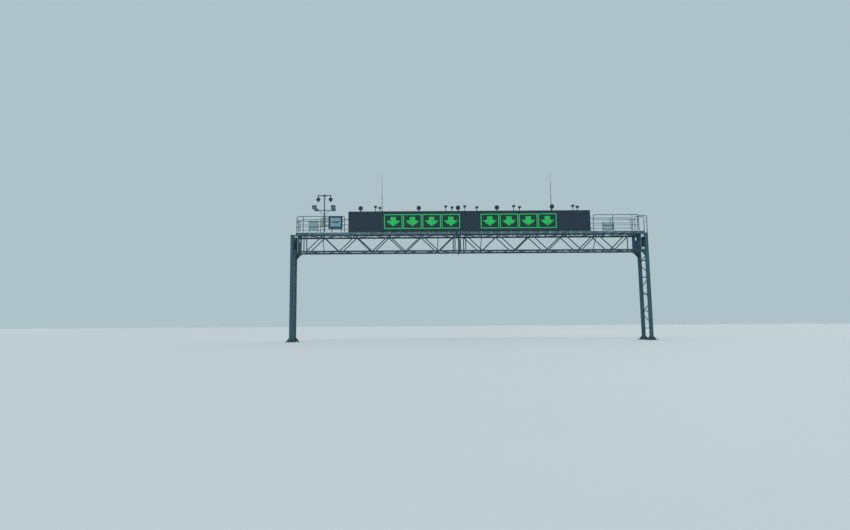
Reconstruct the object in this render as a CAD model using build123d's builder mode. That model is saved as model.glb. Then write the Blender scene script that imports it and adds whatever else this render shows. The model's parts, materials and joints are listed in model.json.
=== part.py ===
from build123d import *

import math
import os

# Overall layout, in millimetres. X runs across the road, Y along it, Z up from the ground.
leg_span = 24400
leg_depth = 1400
bottom_chord_level = 6150
truss_height = 1100
splice_centre = -620
fit_gap = 0.3

# Flat sides that stand in for a round section, fewest on the tubes that repeat most
leg_sides = 16
chord_sides = 8
web_sides = 6
bracing_sides = 4
rail_sides = 6
mid_rail_sides = 4
post_sides = 4
fitting_sides = 12
bend_chords = 3

# Legs and their feet
leg_diameter = 273
leg_cap_thickness = 14
leg_cap_overhang = 12
foot_side = 700
foot_thickness = 28
foot_corner_cut = 60
anchor_count = 4
anchor_hole_diameter = 36
anchor_circle = 560
rib_count = 4
rib_height = 240
rib_reach = 320
rib_toe = 40
rib_thickness = 12

# Zigzag bracing between the front and the rear leg
leg_brace_diameter = 60
leg_brace_top = 5890
leg_head_brace_drop = 400
leg_brace_drop = 570
leg_brace_gap_front = 410
leg_brace_gap_rear = 160
leg_brace_count = 6

# Box truss
chord_diameter = 114
web_diameter = 70
bracing_diameter = 50
end_plate_offset = 400
end_post_inset = 400
first_node_inset = 140
last_node_inset = 280
left_bays = 9
right_bays = 10
sway_diameter = 50
sway_inset = 150
sway_nodes = (1, 8)

# Bolted plates at the ends and at the splice
plate_thickness = 20
plate_margin = 130
plate_corner_cut = 45
hatch_width = 620
hatch_height = 220
hatch_level = 6990
frame_bar = 230
splice_gap = 740
knee_height = 420
knee_thickness = 14
head_plate_height = 720
head_plate_level = 6760
head_plate_thickness = 12
head_rib_depth = 70
head_rib_count = 3

# Walkway
deck_width = 1600
deck_thickness = 50
deck_sheet = 6
deck_rib_width = 30
deck_rib_count = 3
deck_overhang = 20
deck_left_reach = 165
deck_end_radius = 180
deck_joint = 4
bearer_height = 140
bearer_width = 60
bearer_wall = 9
bearer_pitch = 690

# Handrails
rail_height = 1100
rail_diameter = 50
mid_rail_diameter = 38
rail_pitch = 365
rail_bend = 130
rail_inset = 60
post_pitch = 1390
post_foot_side = 110
post_foot_thickness = 10
rail_board_gap = 280
end_bay = 440

# Message board
board_width = 16650
board_height = 1430
board_depth = 200
board_rim = 40
board_recess = 25
board_module_count = 15
board_module_groove = 6
board_module_gap = 8
board_upright_count = 9
board_upright_width = 90
board_upright_depth = 60
board_upright_wall = 8

# Grab hoops and ladder at the right end
ladder_offset = 285
ladder_width = 520
ladder_stile_width = 60
ladder_stile_thickness = 16
ladder_rung_diameter = 28
ladder_rung_pitch = 300
ladder_foot_gap = 180
ladder_bracket_pitch = 1170
ladder_bracket_height = 60
ladder_bracket_clear = 8
hoop_inner_offset = 360
hoop_height = 1110

# Lightning rods on the board
rod_height = 2750
rod_diameter = 40
rod_middle_diameter = 28
rod_tip_diameter = 16
rod_first_joint = 1100
rod_second_joint = 2000
rod_socket_diameter = 60
rod_socket_height = 150
rod_socket_lip = 8
rod_left_place = -6000
rod_right_place = 5700
rod_setback = 155
rod_foot_side = 80
rod_foot_thickness = 12

# Lamps and cameras on top of the board
lamp_diameter = 310
lamp_depth = 110
lamp_back_chamfer = 45
lamp_centre_height = 225
lamp_setback = 45
lamp_places = (-7480, -3470, -760, 1920)
tall_lamp_place = 5720
tall_lamp_centre_height = 275
camera_places = (-6150, -1170, 545, 3500, 7500)
tall_camera_places = (-6455, -1600, -290, 3100, 7190)
camera_width = 175
camera_height = 110
camera_length = 280
camera_centre_height = 250
tall_camera_centre_height = 330
camera_hood = 14
camera_corner_cut = 25
camera_setback = 140
stand_diameter = 50
stand_foot_side = 80
stand_foot_thickness = 10

# Camera mast on the left of the walkway
mast_end_gap = 1945
mast_rail_gap = 140
mast_diameter = 95
mast_height = 2670
mast_foot_side = 260
mast_arm_drop = 80
mast_arm_reach = 460
mast_arm_diameter = 60
mast_gusset_reach = 200
mast_gusset_drop = 110
mast_bar_level = 1530
mast_bar_reach = 395
mast_bar_diameter = 50
mast_strut_drop = 340
mast_strut_reach = 375
mast_strut_diameter = 30
mast_ring_diameter = 150
mast_ring_height = 90
mast_clamp_width = 60
dome_diameter = 290
dome_drop = 150
dome_body_height = 125
dome_rim = 30
dome_neck_diameter = 78
dome_bubble_height = 150
dome_bubble_chamfer = 75
head_width = 150
head_height = 240
head_length = 300
head_gap = 20
head_shelf_depth = 160
head_shelf_thickness = 20
left_head_places = (-550, -690)
right_head_places = (640, 610)
flood_width = 300
flood_height = 160
flood_length = 180
flood_drop = 40
flood_corner_cut = 50

# Control box on the mast, framed panel and cabinets
mast_box_width = 360
mast_box_depth = 260
mast_box_height = 640
mast_box_level = 400
mast_box_shift = -100
panel_mast_gap = 765
panel_width = 970
panel_height = 905
panel_depth = 140
panel_frame = 115
panel_level = 250
panel_recess = 30
panel_post_diameter = 60
panel_post_inset = 246
panel_rail_gap = 180
panel_arm_levels = (480, 745, 1010)
panel_arm_width = 40
left_cabinet_end_gap = 865
left_cabinet_width = 670
left_cabinet_height = 610
left_cabinet_depth = 320
left_cabinet_level = 150
right_cabinet_end_gap = 2130
right_cabinet_width = 730
right_cabinet_height = 510
right_cabinet_depth = 340
right_cabinet_level = 60
cabinet_roof = 30
cabinet_door_raise = 10
cabinet_door_margin = 45

# Cable riser at the splice
riser_diameter = 60
riser_bend = 120
riser_offset = 200
riser_elbow_drop = 120

# Levels and places that follow from the sizes above
leg_radius = leg_diameter / 2
leg_place = leg_span / 2
side_line = leg_depth / 2
top_chord_level = bottom_chord_level + truss_height
chord_radius = chord_diameter / 2
chord_top = top_chord_level + chord_radius
leg_top = chord_top - fit_gap
bearer_bottom = chord_top + fit_gap
deck_bottom = bearer_bottom + bearer_height
deck_top = deck_bottom + deck_thickness
end_plate_face = leg_place - end_plate_offset
end_post_place = end_plate_face - end_post_inset
deck_left_end = -end_plate_face - deck_left_reach
deck_right_end = leg_place - deck_overhang
splice_left_end = splice_centre - splice_gap / 2
splice_right_end = splice_centre + splice_gap / 2
left_first_node = -end_post_place + first_node_inset
left_bay = (splice_left_end - left_first_node) / left_bays
right_last_node = end_post_place - last_node_inset
right_bay = (right_last_node - splice_right_end) / right_bays
plate_depth = leg_depth + 2 * plate_margin
plate_height = truss_height + 2 * plate_margin
truss_middle = (bottom_chord_level + top_chord_level) / 2
board_half = board_width / 2
board_back = -deck_width / 2
board_front = board_back - board_depth
board_top = deck_bottom + board_height
front_rail_line = -deck_width / 2 + rail_inset
rear_rail_line = deck_width / 2 - rail_inset
mast_place = deck_left_end + mast_end_gap
mast_line = front_rail_line + mast_rail_gap
mast_arm_level = mast_height - mast_arm_drop
panel_centre = mast_place + panel_mast_gap
panel_line = front_rail_line + panel_rail_gap
left_cabinet_start = deck_left_end + left_cabinet_end_gap
right_cabinet_start = deck_right_end - right_cabinet_end_gap - right_cabinet_width


def save(part, name):
    part.label = name
    export_step(part, f"parts/{name}.step")


def tube_reach(diameter, sides):
    # From the axis to a corner of the polygon that has the area of the round section.
    return diameter / 2 * math.sqrt(2 * math.pi / sides / math.sin(2 * math.pi / sides))


def tube_flat(diameter, sides):
    return tube_reach(diameter, sides) * math.cos(math.pi / sides)


def tube_section(plane, diameter, sides):
    # One flat side faces the plane's second axis, so a level tube is flat on top.
    with BuildSketch(plane, mode=Mode.PRIVATE) as section:
        RegularPolygon(tube_reach(diameter, sides), sides, rotation=90 - 180 / sides)
    return section.sketch


def bar(start, end, diameter, sides):
    run = Vector(*end) - Vector(*start)
    level_across = run.cross(Vector(0, 0, 1))
    across = level_across if level_across.length > fit_gap else Vector(1, 0, 0)
    section = tube_section(Plane(origin=start, x_dir=across, z_dir=run), diameter, sides)
    return extrude(section, amount=run.length, mode=Mode.PRIVATE)


def add_bars(runs, diameter, sides):
    add([bar(start, end, diameter, sides) for start, end in runs])


def add_bar(start, end, diameter, sides):
    add(bar(start, end, diameter, sides))


def cut_bars(runs, diameter, sides):
    add([bar(start, end, diameter, sides) for start, end in runs], mode=Mode.SUBTRACT)


def add_block(low, high, mode=Mode.ADD):
    size = Vector(*high) - Vector(*low)
    with Locations(low):
        Box(size.X, size.Y, size.Z, align=(Align.MIN, Align.MIN, Align.MIN), mode=mode)


def bend_points(before, corner, after, radius):
    # A bend is a few straight chords of its arc, all tangent lengths equal.
    inward = (Vector(*before) - Vector(*corner)).normalized()
    outward = (Vector(*after) - Vector(*corner)).normalized()
    half_turn = (math.pi - inward.get_angle(outward) * math.pi / 180) / 2
    setback = radius * math.tan(half_turn)
    start = Vector(*corner) + inward * setback
    centre = Vector(*corner) + (inward + outward).normalized() * (radius / math.cos(half_turn))
    first = (start - centre).normalized()
    side = (first * -1).cross(inward).cross(first).normalized()
    points = []
    for index in range(bend_chords + 1):
        angle = 2 * half_turn * index / bend_chords
        points.append(centre + first * (radius * math.cos(angle)) + side * (radius * math.sin(angle)))
    return points


def add_bent_bar(corners, bend, diameter, sides):
    points = [Vector(*corners[0])]
    for before, corner, after in zip(corners, corners[1:], corners[2:]):
        points += bend_points(before, corner, after, bend)
    points.append(Vector(*corners[-1]))
    with BuildLine(mode=Mode.PRIVATE) as route:
        Polyline(*points)
    plane = Plane(origin=points[0], x_dir=(1, 0, 0), z_dir=points[1] - points[0])
    sweep(tube_section(plane, diameter, sides), path=route.line, transition=Transition.RIGHT)


# Each leg has a ribbed base plate on its anchor holes and a cap plate under the walkway bearers
def build_leg(x, y):
    foot = Plane(origin=(x, y, 0))
    with BuildPart() as leg:
        with BuildSketch(foot) as outline:
            Rectangle(foot_side, foot_side)
            chamfer(outline.vertices(), length=foot_corner_cut)
        extrude(amount=foot_thickness)
        add_bar((x, y, foot_thickness), (x, y, leg_top), leg_diameter, leg_sides)
        cap_diameter = leg_diameter + 2 * leg_cap_overhang
        add_bar((x, y, leg_top - leg_cap_thickness), (x, y, leg_top), cap_diameter, leg_sides)
        for index in range(rib_count):
            angle = 2 * math.pi * index / rib_count
            outward = (math.cos(angle), math.sin(angle), 0)
            across = (math.sin(angle), -math.cos(angle), 0)
            with BuildSketch(Plane(origin=(x, y, foot_thickness), x_dir=outward, z_dir=across)):
                with BuildLine():
                    Polyline(
                        (0, 0),
                        (rib_reach, 0),
                        (rib_reach, rib_toe),
                        (leg_radius, rib_height),
                        (0, rib_height),
                        close=True,
                    )
                make_face()
            extrude(amount=rib_thickness / 2, both=True)
        half_step = 180 / anchor_count
        with BuildSketch(foot):
            with PolarLocations(anchor_circle / 2, anchor_count, start_angle=half_step):
                Circle(anchor_hole_diameter / 2)
        extrude(amount=foot_thickness, mode=Mode.SUBTRACT)
    return leg.part


# Zigzag tubes join the front and the rear leg, their ends cut to the round of the legs
def build_leg_bracing(x):
    runs = [((x, side_line, leg_brace_top + leg_head_brace_drop), (x, -side_line, leg_brace_top))]
    level = leg_brace_top
    side = -1
    for _ in range(leg_brace_count):
        runs.append(((x, side * side_line, level), (x, -side * side_line, level - leg_brace_drop)))
        side = -side
        level -= leg_brace_drop
        level -= leg_brace_gap_rear if side > 0 else leg_brace_gap_front
    with BuildPart() as bracing:
        add_bars(runs, leg_brace_diameter, web_sides)
        cut_bars(leg_lines(x), leg_diameter + 2 * fit_gap, leg_sides)
    return bracing.part


def leg_lines(x):
    return [((x, y, 0), (x, y, leg_top + plate_margin)) for y in (-side_line, side_line)]


def plate_sketch(plane, height, depth):
    with BuildSketch(plane, mode=Mode.PRIVATE) as outline:
        Rectangle(depth, height)
        chamfer(outline.vertices(), length=plate_corner_cut)
    return outline.sketch


# The leg head carries the truss: a bolted plate, four chord stubs, two knees and a ribbed web
def build_leg_head(hand):
    leg_x = hand * leg_place
    plate_x = hand * end_plate_face
    with BuildPart() as head:
        plate = Plane(origin=(plate_x, 0, truss_middle), x_dir=(0, 1, 0), z_dir=(hand, 0, 0))
        extrude(plate_sketch(plate, plate_height, plate_depth), amount=plate_thickness)
        for y in (-side_line, side_line):
            for level in (bottom_chord_level, top_chord_level):
                add_bar((plate_x, y, level), (leg_x, y, level), chord_diameter, chord_sides)
            with BuildSketch(Plane(origin=(leg_x, y, bottom_chord_level), x_dir=(-hand, 0, 0),
                                   z_dir=(0, hand, 0))) as knee:
                with BuildLine():
                    Polyline(
                        (0, 0),
                        (end_plate_offset, 0),
                        (end_plate_offset, -chord_radius - rib_toe),
                        (leg_radius, -knee_height),
                        (0, -knee_height),
                        close=True,
                    )
                make_face()
            extrude(knee.sketch, amount=knee_thickness / 2, both=True)
        add_block(
            (leg_x - head_plate_thickness / 2, -side_line, head_plate_level - head_plate_height / 2),
            (leg_x + head_plate_thickness / 2, side_line, head_plate_level + head_plate_height / 2),
        )
        for index in range(head_rib_count):
            y = (index - (head_rib_count - 1) / 2) * (leg_depth - leg_diameter) / (head_rib_count + 1)
            add_block(
                (leg_x - head_rib_depth, y - rib_thickness / 2, head_plate_level - head_plate_height / 2),
                (leg_x + head_rib_depth, y + rib_thickness / 2, head_plate_level + head_plate_height / 2),
            )
        cut_bars(leg_lines(leg_x), leg_diameter + 2 * fit_gap, leg_sides)
        cap_bottom = leg_top - leg_cap_thickness - fit_gap
        cap_top = leg_top + plate_margin
        cap_lines = [((leg_x, y, cap_bottom), (leg_x, y, cap_top)) for y in (-side_line, side_line)]
        cut_bars(cap_lines, leg_diameter + 2 * leg_cap_overhang + 2 * fit_gap, leg_sides)
        cut_hatch(plate_x, hand)
    return head.part


def cut_hatch(plate_x, hand):
    hatch = Plane(origin=(plate_x - hand * plate_thickness, 0, hatch_level), x_dir=(0, 1, 0),
                  z_dir=(hand, 0, 0))
    outline = plate_sketch(hatch, hatch_height, hatch_width)
    extrude(outline, amount=2 * plate_thickness, mode=Mode.SUBTRACT)


def build_end_plates():
    with BuildPart() as plates:
        for hand in (-1, 1):
            plate_x = hand * (end_plate_face - plate_thickness)
            plate = Plane(origin=(plate_x, 0, truss_middle), x_dir=(0, 1, 0), z_dir=(hand, 0, 0))
            extrude(plate_sketch(plate, plate_height, plate_depth), amount=plate_thickness)
            cut_hatch(plate_x + hand * plate_thickness / 2, hand)
    return plates.part


# The two halves of the truss meet at a pair of bolted frames
def build_splice_frame(hand):
    plate = Plane(origin=(splice_centre, 0, truss_middle), x_dir=(0, 1, 0), z_dir=(hand, 0, 0))
    with BuildPart() as frame:
        extrude(plate_sketch(plate, plate_height, plate_depth), amount=plate_thickness)
        inner = plate_sketch(plate, plate_height - 2 * frame_bar, plate_depth - 2 * frame_bar)
        extrude(inner, amount=plate_thickness, mode=Mode.SUBTRACT)
    return frame.part


# Each truss face is two chords, end posts and one zigzag web that runs from node to node
def web_nodes(start, bay, bays, starts_low, y):
    nodes = []
    for index in range(bays + 1):
        low = (index % 2 == 0) == starts_low
        nodes.append((start + index * bay, y, bottom_chord_level if low else top_chord_level))
    return nodes


def build_truss_face(y, chord_ends, posts, nodes):
    levels = (bottom_chord_level, top_chord_level)
    chords = [((chord_ends[0], y, level), (chord_ends[1], y, level)) for level in levels]
    end_posts = [((x, y, bottom_chord_level), (x, y, top_chord_level)) for x in posts]
    with BuildPart() as face:
        add_bars(chords, chord_diameter, chord_sides)
        add_bars([*end_posts, *zip(nodes, nodes[1:])], web_diameter, web_sides)
    return face.part


# Struts and diagonals lie between the chords, cut to their outline at both ends
def build_bracing(level, posts, start, bay, bays):
    struts = [*posts, *(start + index * bay for index in range(bays + 1))]
    runs = [((x, -side_line, level), (x, side_line, level)) for x in struts]
    for index in range(bays):
        side = 1 if index % 2 else -1
        x = start + index * bay
        runs.append(((x, side * side_line, level), (x + bay, -side * side_line, level)))
    chord_ends = (start - bay, start + (bays + 1) * bay)
    chords = [((chord_ends[0], y, level), (chord_ends[1], y, level)) for y in (-side_line, side_line)]
    with BuildPart() as bracing:
        add_bars(runs, bracing_diameter, bracing_sides)
        cut_bars(chords, chord_diameter + 2 * fit_gap, chord_sides)
    return bracing.part


def build_sway_braces():
    reach = side_line - sway_inset
    places = [left_first_node + node * left_bay for node in sway_nodes]
    places += [splice_right_end + node * right_bay for node in sway_nodes]
    runs = [((x, -reach, top_chord_level), (x, reach, bottom_chord_level)) for x in places]
    struts = [((x, -side_line, level), (x, side_line, level))
              for x in places for level in (bottom_chord_level, top_chord_level)]
    with BuildPart() as braces:
        add_bars(runs, sway_diameter, bracing_sides)
        cut_bars(struts, bracing_diameter + 2 * fit_gap, bracing_sides)
    return braces.part


# Channel bearers cross the top chords and carry the deck and the board
def bearer_places():
    clear = plate_thickness + bearer_width
    inner_end = end_plate_face - clear
    left = spread(-inner_end, splice_centre - clear, bearer_pitch)
    right = spread(splice_centre + clear, inner_end, bearer_pitch)
    return [deck_left_end + bearer_width / 2, *left, *right, deck_right_end - bearer_width / 2]


def spread(start, end, pitch):
    count = max(1, round(abs(end - start) / pitch))
    return [start + index * (end - start) / count for index in range(count + 1)]


def bearer(x):
    under_board = abs(x) < board_half - bearer_width
    front = board_front if under_board else -deck_width / 2
    plane = Plane(origin=(x, front, bearer_bottom), x_dir=(1, 0, 0), z_dir=(0, -1, 0))
    with BuildSketch(plane, mode=Mode.PRIVATE) as section:
        with Locations((0, bearer_height / 2)):
            Rectangle(bearer_width, bearer_height)
        with Locations((bearer_wall, bearer_height / 2)):
            Rectangle(bearer_width, bearer_height - 2 * bearer_wall, mode=Mode.SUBTRACT)
    return extrude(section.sketch, amount=-(deck_width / 2 - front), mode=Mode.PRIVATE)


def build_bearers():
    with BuildPart() as bearers:
        add([bearer(x) for x in bearer_places()])
    return bearers.part


# The deck is a sheet on ribs, rounded at the ladder end
def build_deck(start, end, rounded_end=False):
    half = deck_width / 2
    with BuildPart() as deck:
        with BuildSketch(Plane(origin=(start, 0, deck_bottom), x_dir=(0, 1, 0), z_dir=(1, 0, 0))) as section:
            with Locations((0, deck_thickness / 2)):
                Rectangle(deck_width, deck_thickness)
            spacing = deck_width / (deck_rib_count + 1)
            pocket = spacing - deck_rib_width
            with GridLocations(spacing, 1, deck_rib_count + 1, 1):
                with Locations((0, (deck_thickness - deck_sheet) / 2)):
                    Rectangle(pocket, deck_thickness - deck_sheet, mode=Mode.SUBTRACT)
        extrude(section.sketch, amount=end - start)
        if rounded_end:
            corners = deck.edges().filter_by(Axis.Z).group_by(Axis.X)[-1]
            outer = [corner for corner in corners if abs(abs(corner.center().Y) - half) < deck_sheet]
            fillet(outer, radius=deck_end_radius)
    return deck.part


def add_post_foot(x, y):
    add_block(
        (x - post_foot_side / 2, y - post_foot_side / 2, deck_top),
        (x + post_foot_side / 2, y + post_foot_side / 2, deck_top + post_foot_thickness),
    )


# A handrail is one bent tube with two mid rails and posts on foot plates
def build_handrail(y, ends, posts):
    with BuildPart() as handrail:
        top = deck_top + rail_height
        corners = ((ends[0], y, deck_top), (ends[0], y, top), (ends[1], y, top), (ends[1], y, deck_top))
        add_bent_bar(corners, rail_bend, rail_diameter, rail_sides)
        mid_levels = (top - rail_pitch, top - 2 * rail_pitch)
        mid_rails = [((ends[0], y, level), (ends[1], y, level)) for level in mid_levels]
        add_bars(mid_rails, mid_rail_diameter, mid_rail_sides)
        add_bars([((x, y, deck_top), (x, y, top)) for x in posts], rail_diameter, post_sides)
        for x in (*ends, *posts):
            add_post_foot(x, y)
    return handrail.part


def build_end_rail(x):
    reach_front = front_rail_line + tube_flat(rail_diameter, rail_sides) + fit_gap
    reach_rear = rear_rail_line - tube_flat(rail_diameter, rail_sides) - fit_gap
    top = deck_top + rail_height
    with BuildPart() as rail:
        for level in (top - rail_bend, top - rail_pitch, top - 2 * rail_pitch):
            add_bar((x, reach_front, level), (x, reach_rear, level), mid_rail_diameter, mid_rail_sides)
        middle = (front_rail_line + rear_rail_line) / 2
        add_bar((x, middle, deck_top), (x, middle, top - rail_bend), rail_diameter, post_sides)
        add_post_foot(x, middle)
    return rail.part


def build_ladder():
    x = leg_place + ladder_offset
    half = ladder_width / 2
    top = deck_top
    with BuildPart() as ladder:
        for y in (-half, half):
            add_block(
                (x - ladder_stile_width / 2, y - ladder_stile_thickness / 2, ladder_foot_gap),
                (x + ladder_stile_width / 2, y + ladder_stile_thickness / 2, top),
            )
        first = ladder_foot_gap + ladder_rung_pitch / 2
        count = math.floor((top - ladder_rung_diameter - first) / ladder_rung_pitch) + 1
        levels = [first + index * ladder_rung_pitch for index in range(count)]
        rungs = [((x, -half, level), (x, half, level)) for level in levels]
        add_bars(rungs, ladder_rung_diameter, rail_sides)
    return ladder.part


def build_ladder_brackets():
    x = leg_place + ladder_offset - ladder_stile_width / 2
    inner = leg_place + leg_brace_diameter / 2 + ladder_bracket_clear
    half = ladder_width / 2
    with BuildPart() as brackets:
        level = ladder_foot_gap + ladder_bracket_pitch / 2
        while level < head_plate_level - head_plate_height / 2:
            for y in (-half, half):
                add_block(
                    (inner, y - ladder_stile_thickness / 2, level),
                    (x, y + ladder_stile_thickness / 2, level + ladder_bracket_height),
                )
            add_block(
                (inner, -side_line, level),
                (inner + ladder_stile_thickness, side_line, level + ladder_bracket_height),
            )
            level += ladder_bracket_pitch
        cut_bars(leg_lines(leg_place), leg_diameter + 2 * fit_gap, leg_sides)
    return brackets.part


def build_ladder_hoops():
    inner = leg_place - hoop_inner_offset
    outer = leg_place + ladder_offset
    top = deck_top + hoop_height
    with BuildPart() as hoops:
        for side in (-1, 1):
            y = side * ladder_width / 2
            corners = ((inner, y, deck_top), (inner, y, top), (outer, y, top), (outer, y, deck_top))
            add_bent_bar(corners, rail_bend, rail_diameter, rail_sides)
            add_post_foot(inner, y)
    return hoops.part


# The message board is a shallow case with a raised rim, a face of modules and rear uprights
def build_board_case():
    with BuildPart() as case:
        add_block((-board_half, board_front, deck_bottom), (board_half, board_back, board_top))
        add_block(
            (-board_half + board_rim, board_front, deck_bottom + board_rim),
            (board_half - board_rim, board_front + board_recess, board_top - board_rim),
            Mode.SUBTRACT,
        )
    return case.part


def build_board_face():
    width = board_width - 2 * board_rim - 2 * fit_gap
    height = board_height - 2 * board_rim - 2 * fit_gap
    back = board_front + board_recess
    module = width / board_module_count
    with BuildPart() as face:
        add_block(
            (-width / 2, board_front + board_module_groove, deck_bottom + board_rim + fit_gap),
            (width / 2, back, deck_bottom + board_rim + fit_gap + height),
        )
        for index in range(1, board_module_count):
            x = -width / 2 + index * module
            add_block(
                (x - board_module_gap / 2, board_front, deck_bottom),
                (x + board_module_gap / 2, board_front + 2 * board_module_groove, board_top),
                Mode.SUBTRACT,
            )
    return face.part


def build_board_uprights():
    reach = board_half - board_rim - board_upright_width / 2
    with BuildPart() as uprights:
        for index in range(board_upright_count):
            x = reach * (2 * index / (board_upright_count - 1) - 1)
            with BuildSketch(Plane(origin=(x, board_back + board_upright_depth / 2, deck_top))) as section:
                Rectangle(board_upright_width, board_upright_depth)
                with Locations((0, board_upright_wall)):
                    Rectangle(
                        board_upright_width - 2 * board_upright_wall,
                        board_upright_depth,
                        mode=Mode.SUBTRACT,
                    )
            extrude(section.sketch, amount=board_top - board_rim - deck_top)
    return uprights.part


def build_lightning_rod(x):
    y = board_front + rod_setback
    with BuildPart() as rod:
        add_block(
            (x - rod_foot_side / 2, y - rod_foot_side / 2, board_top),
            (x + rod_foot_side / 2, y + rod_foot_side / 2, board_top + rod_foot_thickness),
        )
        socket_top = board_top + rod_socket_height
        add_bar((x, y, board_top), (x, y, socket_top), rod_socket_diameter, fitting_sides)
        chamfer(rod.edges().group_by(Axis.Z)[-1], length=rod_socket_lip)
        stages = (
            (rod_first_joint, rod_diameter),
            (rod_second_joint, rod_middle_diameter),
            (rod_height, rod_tip_diameter),
        )
        for height, diameter in stages:
            add_bar((x, y, board_top), (x, y, board_top + height), diameter, web_sides)
    return rod.part


def add_stand(x, y, height):
    half = stand_foot_side / 2
    add_block((x - half, y - half, board_top), (x + half, y + half, board_top + stand_foot_thickness))
    add_bar((x, y, board_top), (x, y, board_top + height), stand_diameter, post_sides)


def build_board_lamps():
    y = board_front + lamp_setback
    front = y - lamp_depth / 2
    places = [(x, lamp_centre_height) for x in lamp_places]
    places.append((tall_lamp_place, tall_lamp_centre_height))
    drums = [((x, front, board_top + height), (x, front + lamp_depth, board_top + height))
             for x, height in places]
    with BuildPart() as lamps:
        add_bars(drums, lamp_diameter, fitting_sides)
        chamfer(lamps.edges().group_by(Axis.Y)[-1], length=lamp_back_chamfer)
        for x, height in places:
            add_stand(x, y, height)
    return lamps.part


def add_camera(x, y, level):
    half = camera_width / 2
    front = y - camera_length / 2
    back = Plane(origin=(x, y + camera_length / 2, level), x_dir=(1, 0, 0), z_dir=(0, -1, 0))
    with BuildSketch(back, mode=Mode.PRIVATE) as body:
        Rectangle(camera_width, camera_height)
        chamfer(body.vertices(), length=camera_corner_cut)
    extrude(body.sketch, amount=camera_length)
    add_block(
        (x - half - camera_hood, front - 2 * camera_hood, level + camera_height / 2 - camera_hood),
        (x + half + camera_hood, y + camera_length / 4, level + camera_height / 2 + camera_hood / 2),
    )


def build_board_cameras():
    y = board_front + camera_setback
    places = [(x, camera_centre_height) for x in camera_places]
    places += [(x, tall_camera_centre_height) for x in tall_camera_places]
    with BuildPart() as cameras:
        for x, height in places:
            add_stand(x, y, height)
            add_camera(x, y, board_top + height)
    return cameras.part


# The camera mast stands on the deck, clamped to the front handrail
def build_mast():
    with BuildPart() as mast:
        half = mast_foot_side / 2
        add_block(
            (mast_place - half, front_rail_line + post_foot_side / 2 + fit_gap, deck_top),
            (mast_place + half, mast_line + half, deck_top + post_foot_thickness),
        )
        add_bar((mast_place, mast_line, deck_top), (mast_place, mast_line, deck_top + mast_height),
                mast_diameter, fitting_sides)
        level = deck_top + rail_height - mast_ring_height / 2
        clamp_front = front_rail_line + tube_reach(rail_diameter, rail_sides) + fit_gap
        add_bar((mast_place, mast_line, level), (mast_place, mast_line, level + mast_ring_height),
                mast_ring_diameter, fitting_sides)
        add_block(
            (mast_place - mast_clamp_width / 2, clamp_front, level),
            (mast_place + mast_clamp_width / 2, mast_line, level + mast_ring_height),
        )
    return mast.part


def build_mast_arms():
    arm = deck_top + mast_arm_level
    bar = deck_top + mast_bar_level
    with BuildPart() as arms:
        add_bar((mast_place - mast_arm_reach, mast_line, arm), (mast_place + mast_arm_reach, mast_line, arm),
                mast_arm_diameter, rail_sides)
        upright = Plane(origin=(mast_place, mast_line, arm), x_dir=(1, 0, 0), z_dir=(0, -1, 0))
        with BuildSketch(upright) as gusset:
            with BuildLine():
                Polyline(
                    (-mast_gusset_reach, 0),
                    (mast_gusset_reach, 0),
                    (mast_diameter / 2, -mast_gusset_drop),
                    (-mast_diameter / 2, -mast_gusset_drop),
                    close=True,
                )
            make_face()
        extrude(gusset.sketch, amount=rib_thickness / 2, both=True)
        add_bar((mast_place - mast_bar_reach, mast_line, bar), (mast_place + mast_bar_reach, mast_line, bar),
                mast_bar_diameter, rail_sides)
        for hand in (-1, 1):
            x = mast_place + hand * mast_strut_reach
            add_bar((x, mast_line, bar), (mast_place, mast_line, bar - mast_strut_drop),
                    mast_strut_diameter, bracing_sides)
        mast_axis = ((mast_place, mast_line, deck_top), (mast_place, mast_line, deck_top + 2 * mast_height))
        cut_bars([mast_axis], mast_diameter + 2 * fit_gap, fitting_sides)
    return arms.part


def build_dome_camera(hand):
    x = mast_place + hand * (mast_arm_reach - mast_arm_diameter / 2)
    top = deck_top + mast_arm_level - tube_flat(mast_arm_diameter, rail_sides) - fit_gap
    shell_top = top - dome_drop
    shell_bottom = shell_top - dome_body_height
    bubble_bottom = shell_bottom - dome_bubble_height
    bubble_diameter = dome_diameter - 2 * dome_rim
    with BuildPart() as dome:
        add_bar((x, mast_line, shell_top), (x, mast_line, shell_bottom), dome_diameter, fitting_sides)
        chamfer(dome.edges().group_by(Axis.Z)[-1], length=dome_rim)
        add_bar((x, mast_line, shell_top), (x, mast_line, bubble_bottom), bubble_diameter, fitting_sides)
        chamfer(dome.edges().group_by(Axis.Z)[0], length=dome_bubble_chamfer)
        add_bar((x, mast_line, top), (x, mast_line, shell_bottom), dome_neck_diameter, fitting_sides)
    return dome.part


def add_flood_lamp(x, low):
    back = Plane(
        origin=(x, mast_line + flood_length / 2, low + flood_height / 2), x_dir=(1, 0, 0), z_dir=(0, -1, 0)
    )
    with BuildSketch(back, mode=Mode.PRIVATE) as body:
        Rectangle(flood_width, flood_height)
        chamfer(body.vertices(), length=flood_corner_cut)
    extrude(body.sketch, amount=flood_length)


def build_mast_heads():
    bar = deck_top + mast_bar_level
    flood_low = bar - flood_drop
    head_low = flood_low + flood_height
    reach = head_width + head_gap / 2
    with BuildPart() as heads:
        for flood_place, head_place in (left_head_places, right_head_places):
            x = mast_place + flood_place
            bar_end = mast_place + math.copysign(mast_bar_reach + fit_gap, flood_place)
            add_bar((bar_end, mast_line, bar), (x, mast_line, bar), mast_bar_diameter, rail_sides)
            add_flood_lamp(x, flood_low)
            centre = mast_place + head_place
            add_block(
                (centre - reach, mast_line - head_shelf_depth / 2, head_low - head_shelf_thickness),
                (centre + reach, mast_line + head_shelf_depth / 2, head_low),
            )
            for low_x in (centre - reach, centre + reach - head_width):
                add_block(
                    (low_x, mast_line - head_length / 2, head_low),
                    (low_x + head_width, mast_line + head_length / 2, head_low + head_height),
                )
    return heads.part


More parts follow.
